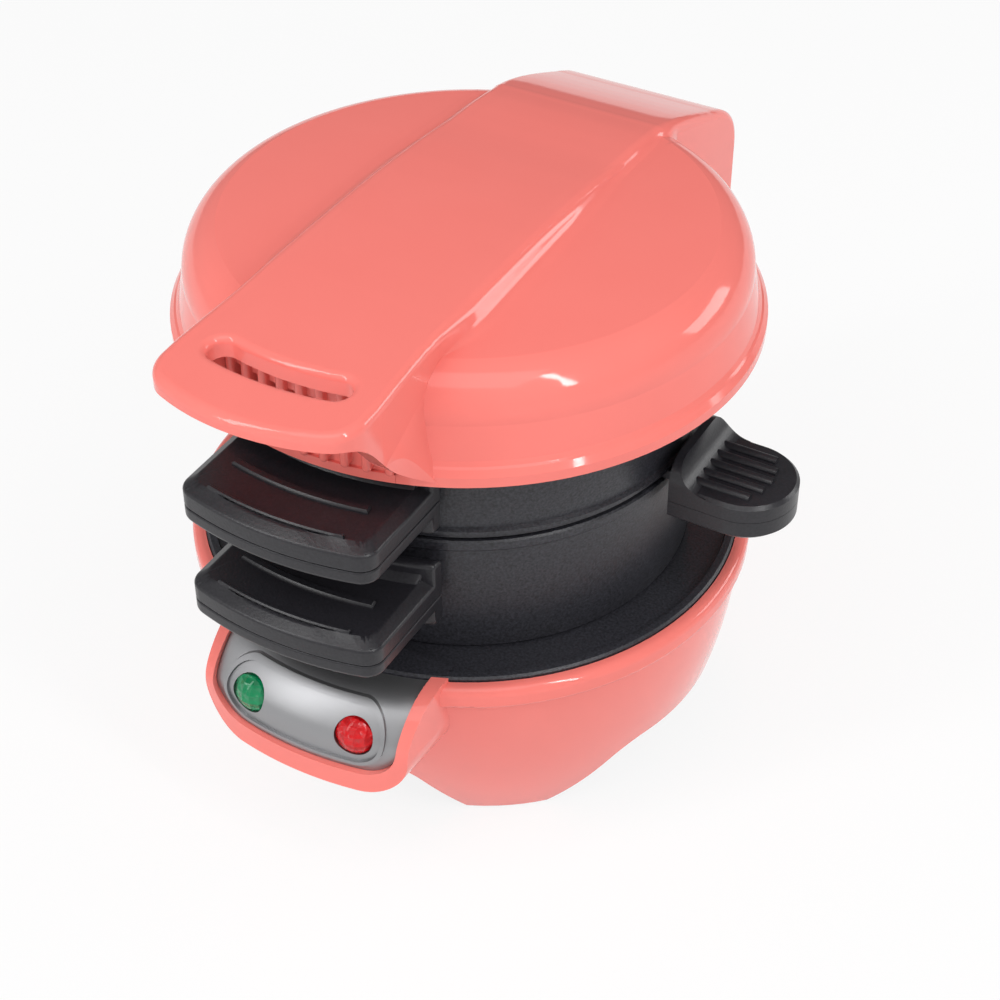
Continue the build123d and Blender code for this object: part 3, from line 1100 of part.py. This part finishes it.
PARTS["lid_cover"] = lid_cover()
PARTS["lid_handle_grille"] = lid_handle_grille()
PARTS["lid_liner"] = lid_liner()
PARTS["top_heating_plate"] = top_heating_plate()
PARTS["top_heating_element"] = heating_element(TOP_PLATE_TOP + ELEMENT_R + ELEMENT_GAP, 1)
PARTS["top_reflector"] = reflector(TOP_PLATE_TOP + SEAT_GAP, TOP_PLATE_TOP + REFLECTOR_DEPTH)
PARTS["top_thermostat"] = thermostat(0, 0, TOP_PLATE_TOP + SEAT_GAP, 1)
PARTS["lid_screws"] = joined(screw(x, y, LID_FACE_Z + SCREW_SINK, LID_FACE_Z + LID_SCREW_LENGTH - 0.4)
                             for x, y in LID_SCREWS)

# ---- Written out -----------------------------------------------------------------------------

LEFT_EXTENT = max(BASE_RIM_R, LID_RIM_R)
SHIFT = Location((-(SIDE_HANDLE_TIP - LEFT_EXTENT) / 2, -(HINGE_Y + CHEEK_R - BAND_FRONT) / 2, 0))
os.makedirs("parts", exist_ok=True)
for name, solid in PARTS.items():
    export_step(SHIFT * solid, f"parts/{name}.step")
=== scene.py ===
"""Breakfast sandwich maker: coral lid and base, dark rings and handles, silver light panel.

The sections follow the appliance from the table up: stage, base housing, light panel, lenses,
hot plates and rings, handles, lid, and the fasteners and inner parts. All sizes are in metres,
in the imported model's own frame.
"""

import math

import bmesh
import bpy
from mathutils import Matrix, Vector


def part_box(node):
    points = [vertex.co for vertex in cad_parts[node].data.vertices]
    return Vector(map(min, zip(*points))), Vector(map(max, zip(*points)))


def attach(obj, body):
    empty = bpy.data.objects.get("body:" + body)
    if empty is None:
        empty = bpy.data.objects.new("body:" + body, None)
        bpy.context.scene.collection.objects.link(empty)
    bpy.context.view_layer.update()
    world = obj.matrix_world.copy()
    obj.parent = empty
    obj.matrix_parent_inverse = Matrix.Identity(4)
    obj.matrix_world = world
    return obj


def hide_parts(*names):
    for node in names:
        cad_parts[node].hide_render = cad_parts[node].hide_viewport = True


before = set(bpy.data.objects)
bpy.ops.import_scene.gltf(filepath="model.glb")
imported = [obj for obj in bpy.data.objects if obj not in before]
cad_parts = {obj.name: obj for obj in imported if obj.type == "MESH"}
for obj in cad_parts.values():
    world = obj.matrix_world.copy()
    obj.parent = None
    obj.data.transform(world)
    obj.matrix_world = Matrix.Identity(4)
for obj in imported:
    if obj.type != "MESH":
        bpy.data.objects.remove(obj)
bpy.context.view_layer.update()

# ---- Stage ---------------------------------------------------------------------------------
# A wide table of matt white laminate in a white studio. Tall strip lights stand at the front
# left and the right, a low box at the right rear, and a large box hangs over the front. The
# camera looks down at the front right corner from half a metre away.

CAMERA_TARGET = Vector((-0.0011, -0.00065, 0.0597))
CAMERA_DISTANCE = 0.5036
CAMERA_AZIMUTH = math.radians(29.2)
CAMERA_ELEVATION = math.radians(39.4)
CAMERA_LENS = 74.03         # focal length in millimetres

TABLE_SIZE = 40.0
TABLE_DROP = 0.0002         # the table lies this far under the feet
WHITE_SHARE = 0.86          # of the table's look to the camera; the rest takes the shadow
ROOM_FRONT = 0.76           # strength of the room's light from in front of the appliance
ROOM_BACK = 0.15            # and from behind it
LIGHT_TARGET = Vector((0, 0, 0.08))     # middle of the appliance

scene = bpy.context.scene
scene.view_settings.view_transform = "Standard"


def direction(azimuth, elevation):
    """Unit vector from the appliance: azimuth from the front towards the right side."""
    return Vector((math.sin(azimuth) * math.cos(elevation),
                   -math.cos(azimuth) * math.cos(elevation), math.sin(elevation)))


def add_object(name, data):
    """Puts data into the scene as a new object, the only one that is selected and active."""
    item = bpy.data.objects.new(name, data)
    scene.collection.objects.link(item)
    bpy.ops.object.select_all(action="DESELECT")
    bpy.context.view_layer.objects.active = item
    item.select_set(True)
    return item


camera = add_object("camera", bpy.data.cameras.new("camera"))
camera.data.lens = CAMERA_LENS
camera.location = CAMERA_TARGET + CAMERA_DISTANCE * direction(CAMERA_AZIMUTH, CAMERA_ELEVATION)
camera.rotation_euler = (math.pi / 2 - CAMERA_ELEVATION, 0, CAMERA_AZIMUTH)
scene.camera = camera


def colour(hexcode):
    """An sRGB hex colour as the linear RGBA that a shader socket takes."""
    parts = [int(hexcode[i:i + 2], 16) / 255 for i in (1, 3, 5)]
    return [p / 12.92 if p <= 0.04045 else ((p + 0.055) / 1.055) ** 2.4 for p in parts] + [1.0]


WHITE = colour("#ffffff")


def add_node(tree, kind, settings=None, links=None):
    """Adds one shader node, sets its properties and input values, and links its inputs.

    An input goes by its name, or by its number where the node has several of one name.
    """
    node = tree.nodes.new(kind)
    for name, value in (settings or {}).items():
        if isinstance(name, int) or name in node.inputs:
            node.inputs[name].default_value = value
        else:
            setattr(node, name, value)
    for name, source in (links or {}).items():
        tree.links.new(source, node.inputs[name])
    return node


def new_material(name):
    """An empty node material; returns it, its node tree and its output node."""
    material = bpy.data.materials.new(name)
    material.use_nodes = True
    material.node_tree.nodes.clear()
    return material, material.node_tree, material.node_tree.nodes.new("ShaderNodeOutputMaterial")


def seen_directly(tree):
    """1 for rays that show the backdrop: from the camera, off gloss or through clear plastic."""
    rays = add_node(tree, "ShaderNodeLightPath")
    seen = add_node(tree, "ShaderNodeMath", {"operation": "MAXIMUM"},
                    {0: rays.outputs["Is Camera Ray"], 1: rays.outputs["Is Glossy Ray"]})
    through = add_node(tree, "ShaderNodeMath", {"operation": "MAXIMUM"},
                       {0: seen.outputs[0], 1: rays.outputs["Is Transmission Ray"]})
    return through.outputs[0]


# Rays that show the table directly see mostly plain white, so the backdrop is even.
table_top, tree, out = new_material("white laminate, matt")
laminate = add_node(tree, "ShaderNodeBsdfPrincipled",
                    {"Base Color": colour("#f1f1f1"), "Roughness": 0.7,
                     "Specular IOR Level": 0.1})
backdrop = add_node(tree, "ShaderNodeEmission", {"Color": WHITE, "Strength": 1.0})
share = add_node(tree, "ShaderNodeMath", {"operation": "MULTIPLY", 1: WHITE_SHARE},
                 {0: seen_directly(tree)})
table_look = add_node(tree, "ShaderNodeMixShader", links={
    0: share.outputs[0], 1: laminate.outputs[0], 2: backdrop.outputs[0]})
tree.links.new(table_look.outputs[0], out.inputs["Surface"])

bpy.ops.object.select_all(action="DESELECT")
bpy.ops.mesh.primitive_plane_add(size=TABLE_SIZE, location=(0, 0, -TABLE_DROP))
table = bpy.context.object
table.name = "table"
table.data.materials.append(table_top)

# The room is paler in front than behind, and plain white where the camera sees it.
world = bpy.data.worlds.new("white studio")
scene.world = world
world.use_nodes = True
tree = world.node_tree
tree.nodes.clear()
facing = add_node(tree, "ShaderNodeSeparateXYZ",
                  links={"Vector": add_node(tree, "ShaderNodeTexCoord").outputs["Generated"]})
level = add_node(tree, "ShaderNodeMapRange",
                 {"From Min": -1.0, "From Max": 1.0, "To Min": ROOM_FRONT, "To Max": ROOM_BACK},
                 {"Value": facing.outputs["Y"]})
room = add_node(tree, "ShaderNodeBackground", {"Color": WHITE}, {"Strength": level.outputs[0]})
sky = add_node(tree, "ShaderNodeBackground", {"Color": WHITE, "Strength": 1.0})
room_look = add_node(tree, "ShaderNodeMixShader", links={
    0: add_node(tree, "ShaderNodeLightPath").outputs["Is Camera Ray"],
    1: room.outputs[0], 2: sky.outputs[0]})
add_node(tree, "ShaderNodeOutputWorld", links={"Surface": room_look.outputs[0]})


def soft_box(name, azimuth, elevation, distance, width, height, watts):
    """A rectangular area light, placed by angles in degrees, that faces the appliance."""
    data = bpy.data.lights.new(name, "AREA")
    data.shape, data.size, data.size_y, data.energy = "RECTANGLE", width, height, watts
    light = add_object(name, data)
    away = direction(math.radians(azimuth), math.radians(elevation))
    light.location = LIGHT_TARGET + distance * away
    light.rotation_euler = away.to_track_quat("Z", "Y").to_euler()


soft_box("overhead box", azimuth=20, elevation=62, distance=0.9, width=0.7, height=0.5, watts=1.9)
soft_box("front left strip", azimuth=-29, elevation=36, distance=1.0, width=0.15, height=0.8,
         watts=3.3)
soft_box("right strip", azimuth=68, elevation=43, distance=1.1, width=0.06, height=0.6, watts=3.4)
soft_box("right rear box", azimuth=134, elevation=20, distance=1.1, width=0.5, height=0.3,
         watts=2.6)

# ---- Base housing --------------------------------------------------------------------------
# The base is one injection moulding in coral ABS from a polished tool, so it is glossy with
# soft, slightly wavy reflections.

POLISH_WAVE = 0.018         # between the slow waves that a polished moulding shows
MIX_A, MIX_B, MIX_RESULT = 6, 7, 2      # the mix node's sockets for colours


def noise(tree, size, **settings):
    """Noise with features of one size, fixed to the piece, as a socket from 0 to 1."""
    place = add_node(tree, "ShaderNodeTexCoord")
    pattern = add_node(tree, "ShaderNodeTexNoise", {"Scale": 1 / size, **settings},
                       {"Vector": place.outputs["Object"]})
    return pattern.outputs["Fac"]


def blend(tree, factor, first, second):
    """A colour socket that goes from one hex colour to another as the factor goes 0 to 1."""
    mix = add_node(tree, "ShaderNodeMix",
                   {"data_type": "RGBA", MIX_A: colour(first), MIX_B: colour(second)},
                   {"Factor": factor})
    return mix.outputs[MIX_RESULT]


def bump(tree, height, strength, distance):
    """The normal of a surface whose relief follows a height socket."""
    relief = add_node(tree, "ShaderNodeBump", {"Strength": strength, "Distance": distance},
                      {"Height": height})
    return relief.outputs["Normal"]


def surface(tree, out, settings, links=None):
    """Ends a material with one Principled shader, given its input values and links."""
    shader = add_node(tree, "ShaderNodeBsdfPrincipled", settings, links)
    tree.links.new(shader.outputs[0], out.inputs["Surface"])


def dress(material, *pieces):
    """Gives pieces, or CAD nodes by name, one finish through their material slots."""
    for piece in pieces:
        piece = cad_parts[piece] if isinstance(piece, str) else piece
        if not piece.material_slots:
            piece.data.materials.append(material)
        for slot in piece.material_slots:
            slot.material = material


def coral_moulding():
    """Glossy coral ABS: a clean saturated body with a hard clear shine."""
    material, tree, out = new_material("coral ABS, gloss moulded")
    drift = noise(tree, POLISH_WAVE, Detail=1.0)
    surface(tree, out, {"Roughness": 0.09, "IOR": 1.54, "Specular IOR Level": 0.3},
            {"Base Color": blend(tree, drift, "#ee7a71", "#f07e75"),
             "Normal": bump(tree, drift, strength=0.05, distance=0.0004)})
    return material


coral = coral_moulding()
dress(coral, "base_housing")

# ---- Light panel ---------------------------------------------------------------------------
# The panel is a thin plate painted silver, with a raised oblong line round the two lenses.
# The metal flake in the paint gives it a soft sheen.

FLAKE_SIZE = 0.00035        # of the metal flake in the paint


def silver_paint():
    """Satin silver paint with a fine flake."""
    material, tree, out = new_material("silver paint, satin")
    flake = noise(tree, FLAKE_SIZE, Detail=2.0)
    rough = add_node(tree, "ShaderNodeMapRange", {"To Min": 0.36, "To Max": 0.46},
                     {"Value": flake})
    surface(tree, out, {"Base Color": colour("#9b9b9d"), "Metallic": 0.9},
            {"Roughness": rough.outputs[0],
             "Normal": bump(tree, flake, strength=0.12, distance=0.00005)})
    return material


dress(silver_paint(), "control_panel")

# ---- Lenses --------------------------------------------------------------------------------
# Two domed lenses in clear coloured acrylic. Their front is smooth, and moulded facets on the
# inside break up what shows through, so they sparkle.

FACET = 0.0021              # width of one facet


def clear_body(name, hexcode, faceted=False):
    """A translucent coloured body under a clear shine, with facets inside where asked."""
    material, tree, out = new_material(name)
    links = {}
    if faceted:
        place = add_node(tree, "ShaderNodeTexCoord")
        cells = add_node(tree, "ShaderNodeTexVoronoi", {"Scale": 1 / FACET, "Randomness": 0.15},
                         {"Vector": place.outputs["Object"]})
        links["Normal"] = bump(tree, cells.outputs["Distance"], strength=1.0, distance=0.0012)
    surface(tree, out,
            {"Base Color": colour(hexcode), "Roughness": 0.12, "IOR": 1.49,
             "Transmission Weight": 0.2, "Specular IOR Level": 0.2, "Coat Weight": 0.35,
             "Coat Roughness": 0.02}, links)
    return material


dress(clear_body("green acrylic, clear moulded", "#06905a", faceted=True), "preheat_lens")
dress(clear_body("red acrylic, clear moulded", "#dc0a15", faceted=True), "power_lens")
dress(clear_body("clear glass, blown", "#f3efe6"), "preheat_lamp", "power_lamp")

# ---- Hot plates, rings and swing-out plate --------------------------------------------------
# Cast aluminium with a baked dark non-stick coat: satin, with a fine grain of lighter specks.

COAT_GRAIN = 0.0006         # of the sprayed coat


def nonstick_coat():
    """Dark non-stick coat with a fine sprayed grain."""
    material, tree, out = new_material("non-stick coat, baked")
    grain = noise(tree, COAT_GRAIN, Detail=3.0, Roughness=0.6)
    speck = add_node(tree, "ShaderNodeMapRange", {"From Min": 0.25, "From Max": 0.8},
                     {"Value": grain})
    surface(tree, out, {"Roughness": 0.36, "IOR": 1.5, "Specular IOR Level": 0.4},
            {"Base Color": blend(tree, speck.outputs[0], "#131316", "#3f3f46"),
             "Normal": bump(tree, grain, strength=0.5, distance=0.00015)})
    return material


dress(nonstick_coat(), "bottom_plate", "cooking_plate", "top_heating_plate", "lower_ring",
      "upper_ring")

# ---- Handles -------------------------------------------------------------------------------
# Each handle is two halves of black glass-filled phenolic, moulded with a fine matt texture
# and screwed together round a tongue. The ring handles are copies of their nodes with the
# bevelled border at the front and sides rounded, as a mould leaves it.

HANDLE_GRAIN = 0.0006       # of the texture
HANDLE_BORDER = 0.0029      # width of the bevelled border round a handle's top face
HANDLE_BOW = 0.0026         # how far the front edge bows forward in the middle
HANDLE_ROUNDING = 0.0005    # of the border's edges
ROUNDING_STEPS = 4
SHARP_EDGE = math.radians(20)   # an edge that turns by more is rounded or, elsewhere, crisp
FLAT_JOIN = math.radians(0.6)   # faces that turn by less are one flat face
SAME_POINT = 0.000002           # points closer than this are one


def on_border(place, low, high):
    """Whether a point is in the border at the front or sides of a handle with this box."""
    middle, reach = (low[0] + high[0]) / 2, (high[0] - low[0]) / 2
    aside = abs(place.x - middle)
    front = low[1] + HANDLE_BORDER + HANDLE_BOW * (aside / reach) ** 2
    return aside > reach - HANDLE_BORDER or place.y < front


def rounded_copy(node, body):
    """A handle half's own form as one merged mesh, with the edges in its border rounded."""
    low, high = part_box(node)
    piece = add_object(node + "_moulded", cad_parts[node].data.copy())
    bpy.ops.object.mode_set(mode="EDIT")
    bpy.ops.mesh.select_mode(type="EDGE")
    bpy.ops.mesh.select_all(action="SELECT")
    bpy.ops.mesh.remove_doubles(threshold=SAME_POINT)
    bpy.ops.mesh.dissolve_limited(angle_limit=FLAT_JOIN)
    bpy.ops.mesh.select_all(action="DESELECT")
    form = bmesh.from_edit_mesh(piece.data)
    for edge in form.edges:
        if edge.is_manifold and edge.is_convex and edge.calc_face_angle() > SHARP_EDGE:
            middle = (edge.verts[0].co + edge.verts[1].co) / 2
            edge.select_set(on_border(middle, low, high))
    bmesh.update_edit_mesh(piece.data)
    bpy.ops.mesh.bevel(offset=HANDLE_ROUNDING, segments=ROUNDING_STEPS, profile=0.5,
                       affect="EDGES", clamp_overlap=False)
    bpy.ops.object.mode_set(mode="OBJECT")
    bpy.ops.object.shade_smooth_by_angle(angle=SHARP_EDGE)
    flatness = piece.modifiers.new("flat faces", "WEIGHTED_NORMAL")
    flatness.keep_sharp = True
    bpy.ops.object.modifier_apply(modifier=flatness.name)
    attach(piece, body)
    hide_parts(node)
    return piece


def black_moulding():
    """Matt black heat-proof plastic with a spark-eroded texture."""
    material, tree, out = new_material("black phenolic, matt moulded")
    grain = noise(tree, HANDLE_GRAIN, Detail=3.0)
    surface(tree, out, {"Roughness": 0.34, "IOR": 1.5, "Specular IOR Level": 0.42},
            {"Base Color": blend(tree, grain, "#131215", "#2d2c31"),
             "Normal": bump(tree, grain, strength=0.4, distance=0.0001)})
    return material


black = black_moulding()
for ring in ("lower", "upper"):
    for half in ("top", "bottom"):
        dress(black, rounded_copy(f"{ring}_handle_{half}", f"{ring}_ring_body"))
dress(black, "plate_handle_top", "plate_handle_bottom")
dress(black, "lid_liner", "bottom_cover", "rubber_feet", "cord_gland", "bottom_thermostat",
      "top_thermostat")

# ---- Lid -----------------------------------------------------------------------------------
# The lid cover is a coral moulding like the base: a flat dome crossed by a raised band that
# runs from the hinge to the grip. A ribbed wall closes the hollow behind the grip.

# The band's edges are soft, and a hollow fillet runs each side of it into the dome. A thin skin
# over the cover gives that form, as one grid of sections across the band, each from the crest
# over the edge and down the fillet, out on to the dome.

AXIS = Vector((-0.0073, -0.00375, 0))   # of the rings and the dome; x and y below start here
PROBE_HEIGHT = 0.3          # above the lid, where the rays that measure the cover start
DOME_STEP = 0.0005          # between the points of the dome's measured profile
DOME_POINTS = 88
BAND_HALF = 0.0228          # from the band's middle to its wall
DOME_START = BAND_HALF + 0.001          # where that profile starts, beside the band
CREST_PROBE = BAND_HALF - 0.003         # where the band's own height is measured

SKIN_FRONT, SKIN_BACK = -0.052, 0.084   # the skin's two ends
ROW = 0.001                 # from one section to the next
SKIN = 0.00004              # how far it stands off the moulding
EMERGE = 0.010              # length in which it comes out of the moulding, at each end
FULL_FRONT, FULL_BACK = -0.036, 0.050   # between these the edges are fully soft
END_FADE = 0.010            # length in which they harden again, behind that
RISE_START, RISE = 0.022, 0.0017        # start and height of the band's swell near the hinge

CREST_STEPS, ARC_STEPS = 6, 8           # columns of points on the flat crest and in each arc
UPRIGHT = math.radians(90)
EDGE_R, SOFT_EDGE_R = 0.002, 0.0038     # of the band's edge at its ends and along the dome
SOFT_EDGE_IN = 0.0006       # a soft edge starts this much further in
SOFT_SLOPE = math.radians(58)           # of the wall along the dome; upright at the ends
FILLET_R = 0.0042           # of the hollow fillet along the dome
FOOT_OUT = 0.001            # its foot lies this far out, besides the fillet
LEAST_WALL, WALL_SHOWN = 0.0002, 0.0065     # limits of the wall's height
RUN_OUT = 0.0044            # how far the skin follows the dome past the fillet
SINK = (0.0, -0.00003, -0.00005, -0.00008)  # as it slips under the dome's surface there
TUCK = 0.0004               # of the hem, turned down into the moulding
SKIN_CREASE = math.radians(35)          # a sharper turn of the skin stays crisp

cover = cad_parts["lid_cover"]


def top_of_cover(x, y):
    """Height of the lid cover at a point."""
    above = Vector((x + AXIS.x, y + AXIS.y, PROBE_HEIGHT))
    hit, place, _, _ = cover.ray_cast(above, Vector((0, 0, -1)))
    return place.z if hit else 0.0


dome_line = [top_of_cover(DOME_START + i * DOME_STEP, 0) for i in range(DOME_POINTS)]


def dome_height(x, y):
    """Height of the dome at a point, read off its profile beside the band."""
    place = max(0.0, (math.hypot(x, y) - DOME_START) / DOME_STEP)
    i = min(int(place), len(dome_line) - 2)
    return dome_line[i] + (place - i) * (dome_line[i + 1] - dome_line[i])


def crest_height(y):
    """Height of the band's crest, with the swell near the hinge."""
    rise = 0.0
    if y > RISE_START:
        rise = RISE * math.sin(math.pi * (y - RISE_START) / (SKIN_BACK - RISE_START)) ** 2
    return top_of_cover(CREST_PROBE, y) + rise


def softness(y):
    """How soft the band's edges are: 1 along the dome, eased down to 0 towards both ends."""
    front = min(1.0, max(0.0, (y - SKIN_FRONT) / (FULL_FRONT - SKIN_FRONT)))
    back = min(1.0, max(0.0, (FULL_BACK + END_FADE - y) / END_FADE))
    return min(front, back) ** 2 * (3 - 2 * min(front, back))


def band_section(y):
    """Half a section across the band, from its middle out to the dome, as (x, z) points."""
    soft = softness(y)
    slope = UPRIGHT + soft * (SOFT_SLOPE - UPRIGHT)
    edge_r = EDGE_R + soft * (SOFT_EDGE_R - EDGE_R)
    fillet_r = soft * FILLET_R
    crest = crest_height(y)
    lowest = crest - WALL_SHOWN
    foot = BAND_HALF + soft * (FOOT_OUT + FILLET_R)
    height = max(crest - max(dome_height(foot, y), lowest), LEAST_WALL)
    fit = min(1.0, height / ((edge_r + fillet_r) * (1 - math.cos(slope))))
    edge_r, fillet_r = edge_r * fit, fillet_r * fit

    start = BAND_HALF - EDGE_R - soft * SOFT_EDGE_IN
    points = [(start * i / CREST_STEPS, crest) for i in range(CREST_STEPS)]
    for i in range(ARC_STEPS + 1):
        turn = slope * i / ARC_STEPS
        points.append((start + edge_r * math.sin(turn), crest - edge_r * (1 - math.cos(turn))))
    x, z = points[-1]
    fall = height - (edge_r + fillet_r) * (1 - math.cos(slope))
    x, z = x + fall / math.tan(slope), z - fall
    points.append((x, z))
    for i in range(1, ARC_STEPS + 1):
        turn = slope * (1 - i / ARC_STEPS)
        points.append((x + fillet_r * (math.sin(slope) - math.sin(turn)),
                       z - fillet_r * (math.cos(turn) - math.cos(slope))))
    x, z = points[-1]
    for i, sink in enumerate(SINK):
        out_x = x + soft * RUN_OUT * (i + 1) / len(SINK)
        points.append((out_x, max(dome_height(out_x, y), lowest) + sink))
    x, z = points[-1]
    points.append((x - (1 - soft) * TUCK, z - TUCK))
    return points


vertices, faces = [], []
rows = round((SKIN_BACK - SKIN_FRONT) / ROW) + 1
for row in range(rows):
    y = SKIN_FRONT + row * ROW
    half = band_section(y)
    line = [(-x, z) for x, z in reversed(half[1:])] + half
    emerged = min(1.0, min(y - SKIN_FRONT, SKIN_BACK - y) / EMERGE)
    sunk = SKIN - 2 * SKIN * emerged
    vertices += [(x + AXIS.x - math.copysign(sunk, x), y + AXIS.y, z - sunk) for x, z in line]
columns = len(line)
for row in range(rows - 1):
    for column in range(columns - 1):
        corner = row * columns + column
        faces.append((corner, corner + 1, corner + columns + 1, corner + columns))
mesh = bpy.data.meshes.new("lid_band_skin")
mesh.from_pydata(vertices, [], faces)
band_skin = add_object("lid_band_skin", mesh)
bpy.ops.object.shade_smooth_by_angle(angle=SKIN_CREASE)
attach(band_skin, "lid")
dress(coral, band_skin, "lid_cover", "lid_handle_grille")

# ---- Fasteners and inner parts --------------------------------------------------------------
# Screws, pins, heating elements and the fuse are zinc plated steel, the reflectors are spun
# aluminium, and the lamp holder and terminal block are nylon in its natural colour.


def plain_metal(name, hexcode, roughness):
    """Bare or plated metal of one colour."""
    material, tree, out = new_material(name)
    surface(tree, out, {"Base Color": colour(hexcode), "Roughness": roughness, "Metallic": 1.0})
    return material


dress(plain_metal("zinc plated steel", "#b9b9ba", roughness=0.3), "cover_screws", "hinge_pin",
      "lower_handle_screws", "upper_handle_screws", "plate_handle_screw", "plate_pivot_pin",
      "lid_screws", "bottom_heating_element", "top_heating_element", "thermal_fuse")
dress(plain_metal("aluminium, spun", "#c9c9ca", roughness=0.25), "bottom_reflector",
      "top_reflector")
dress(clear_body("nylon, natural", "#e6e2d6"), "lamp_holder", "terminal_block")
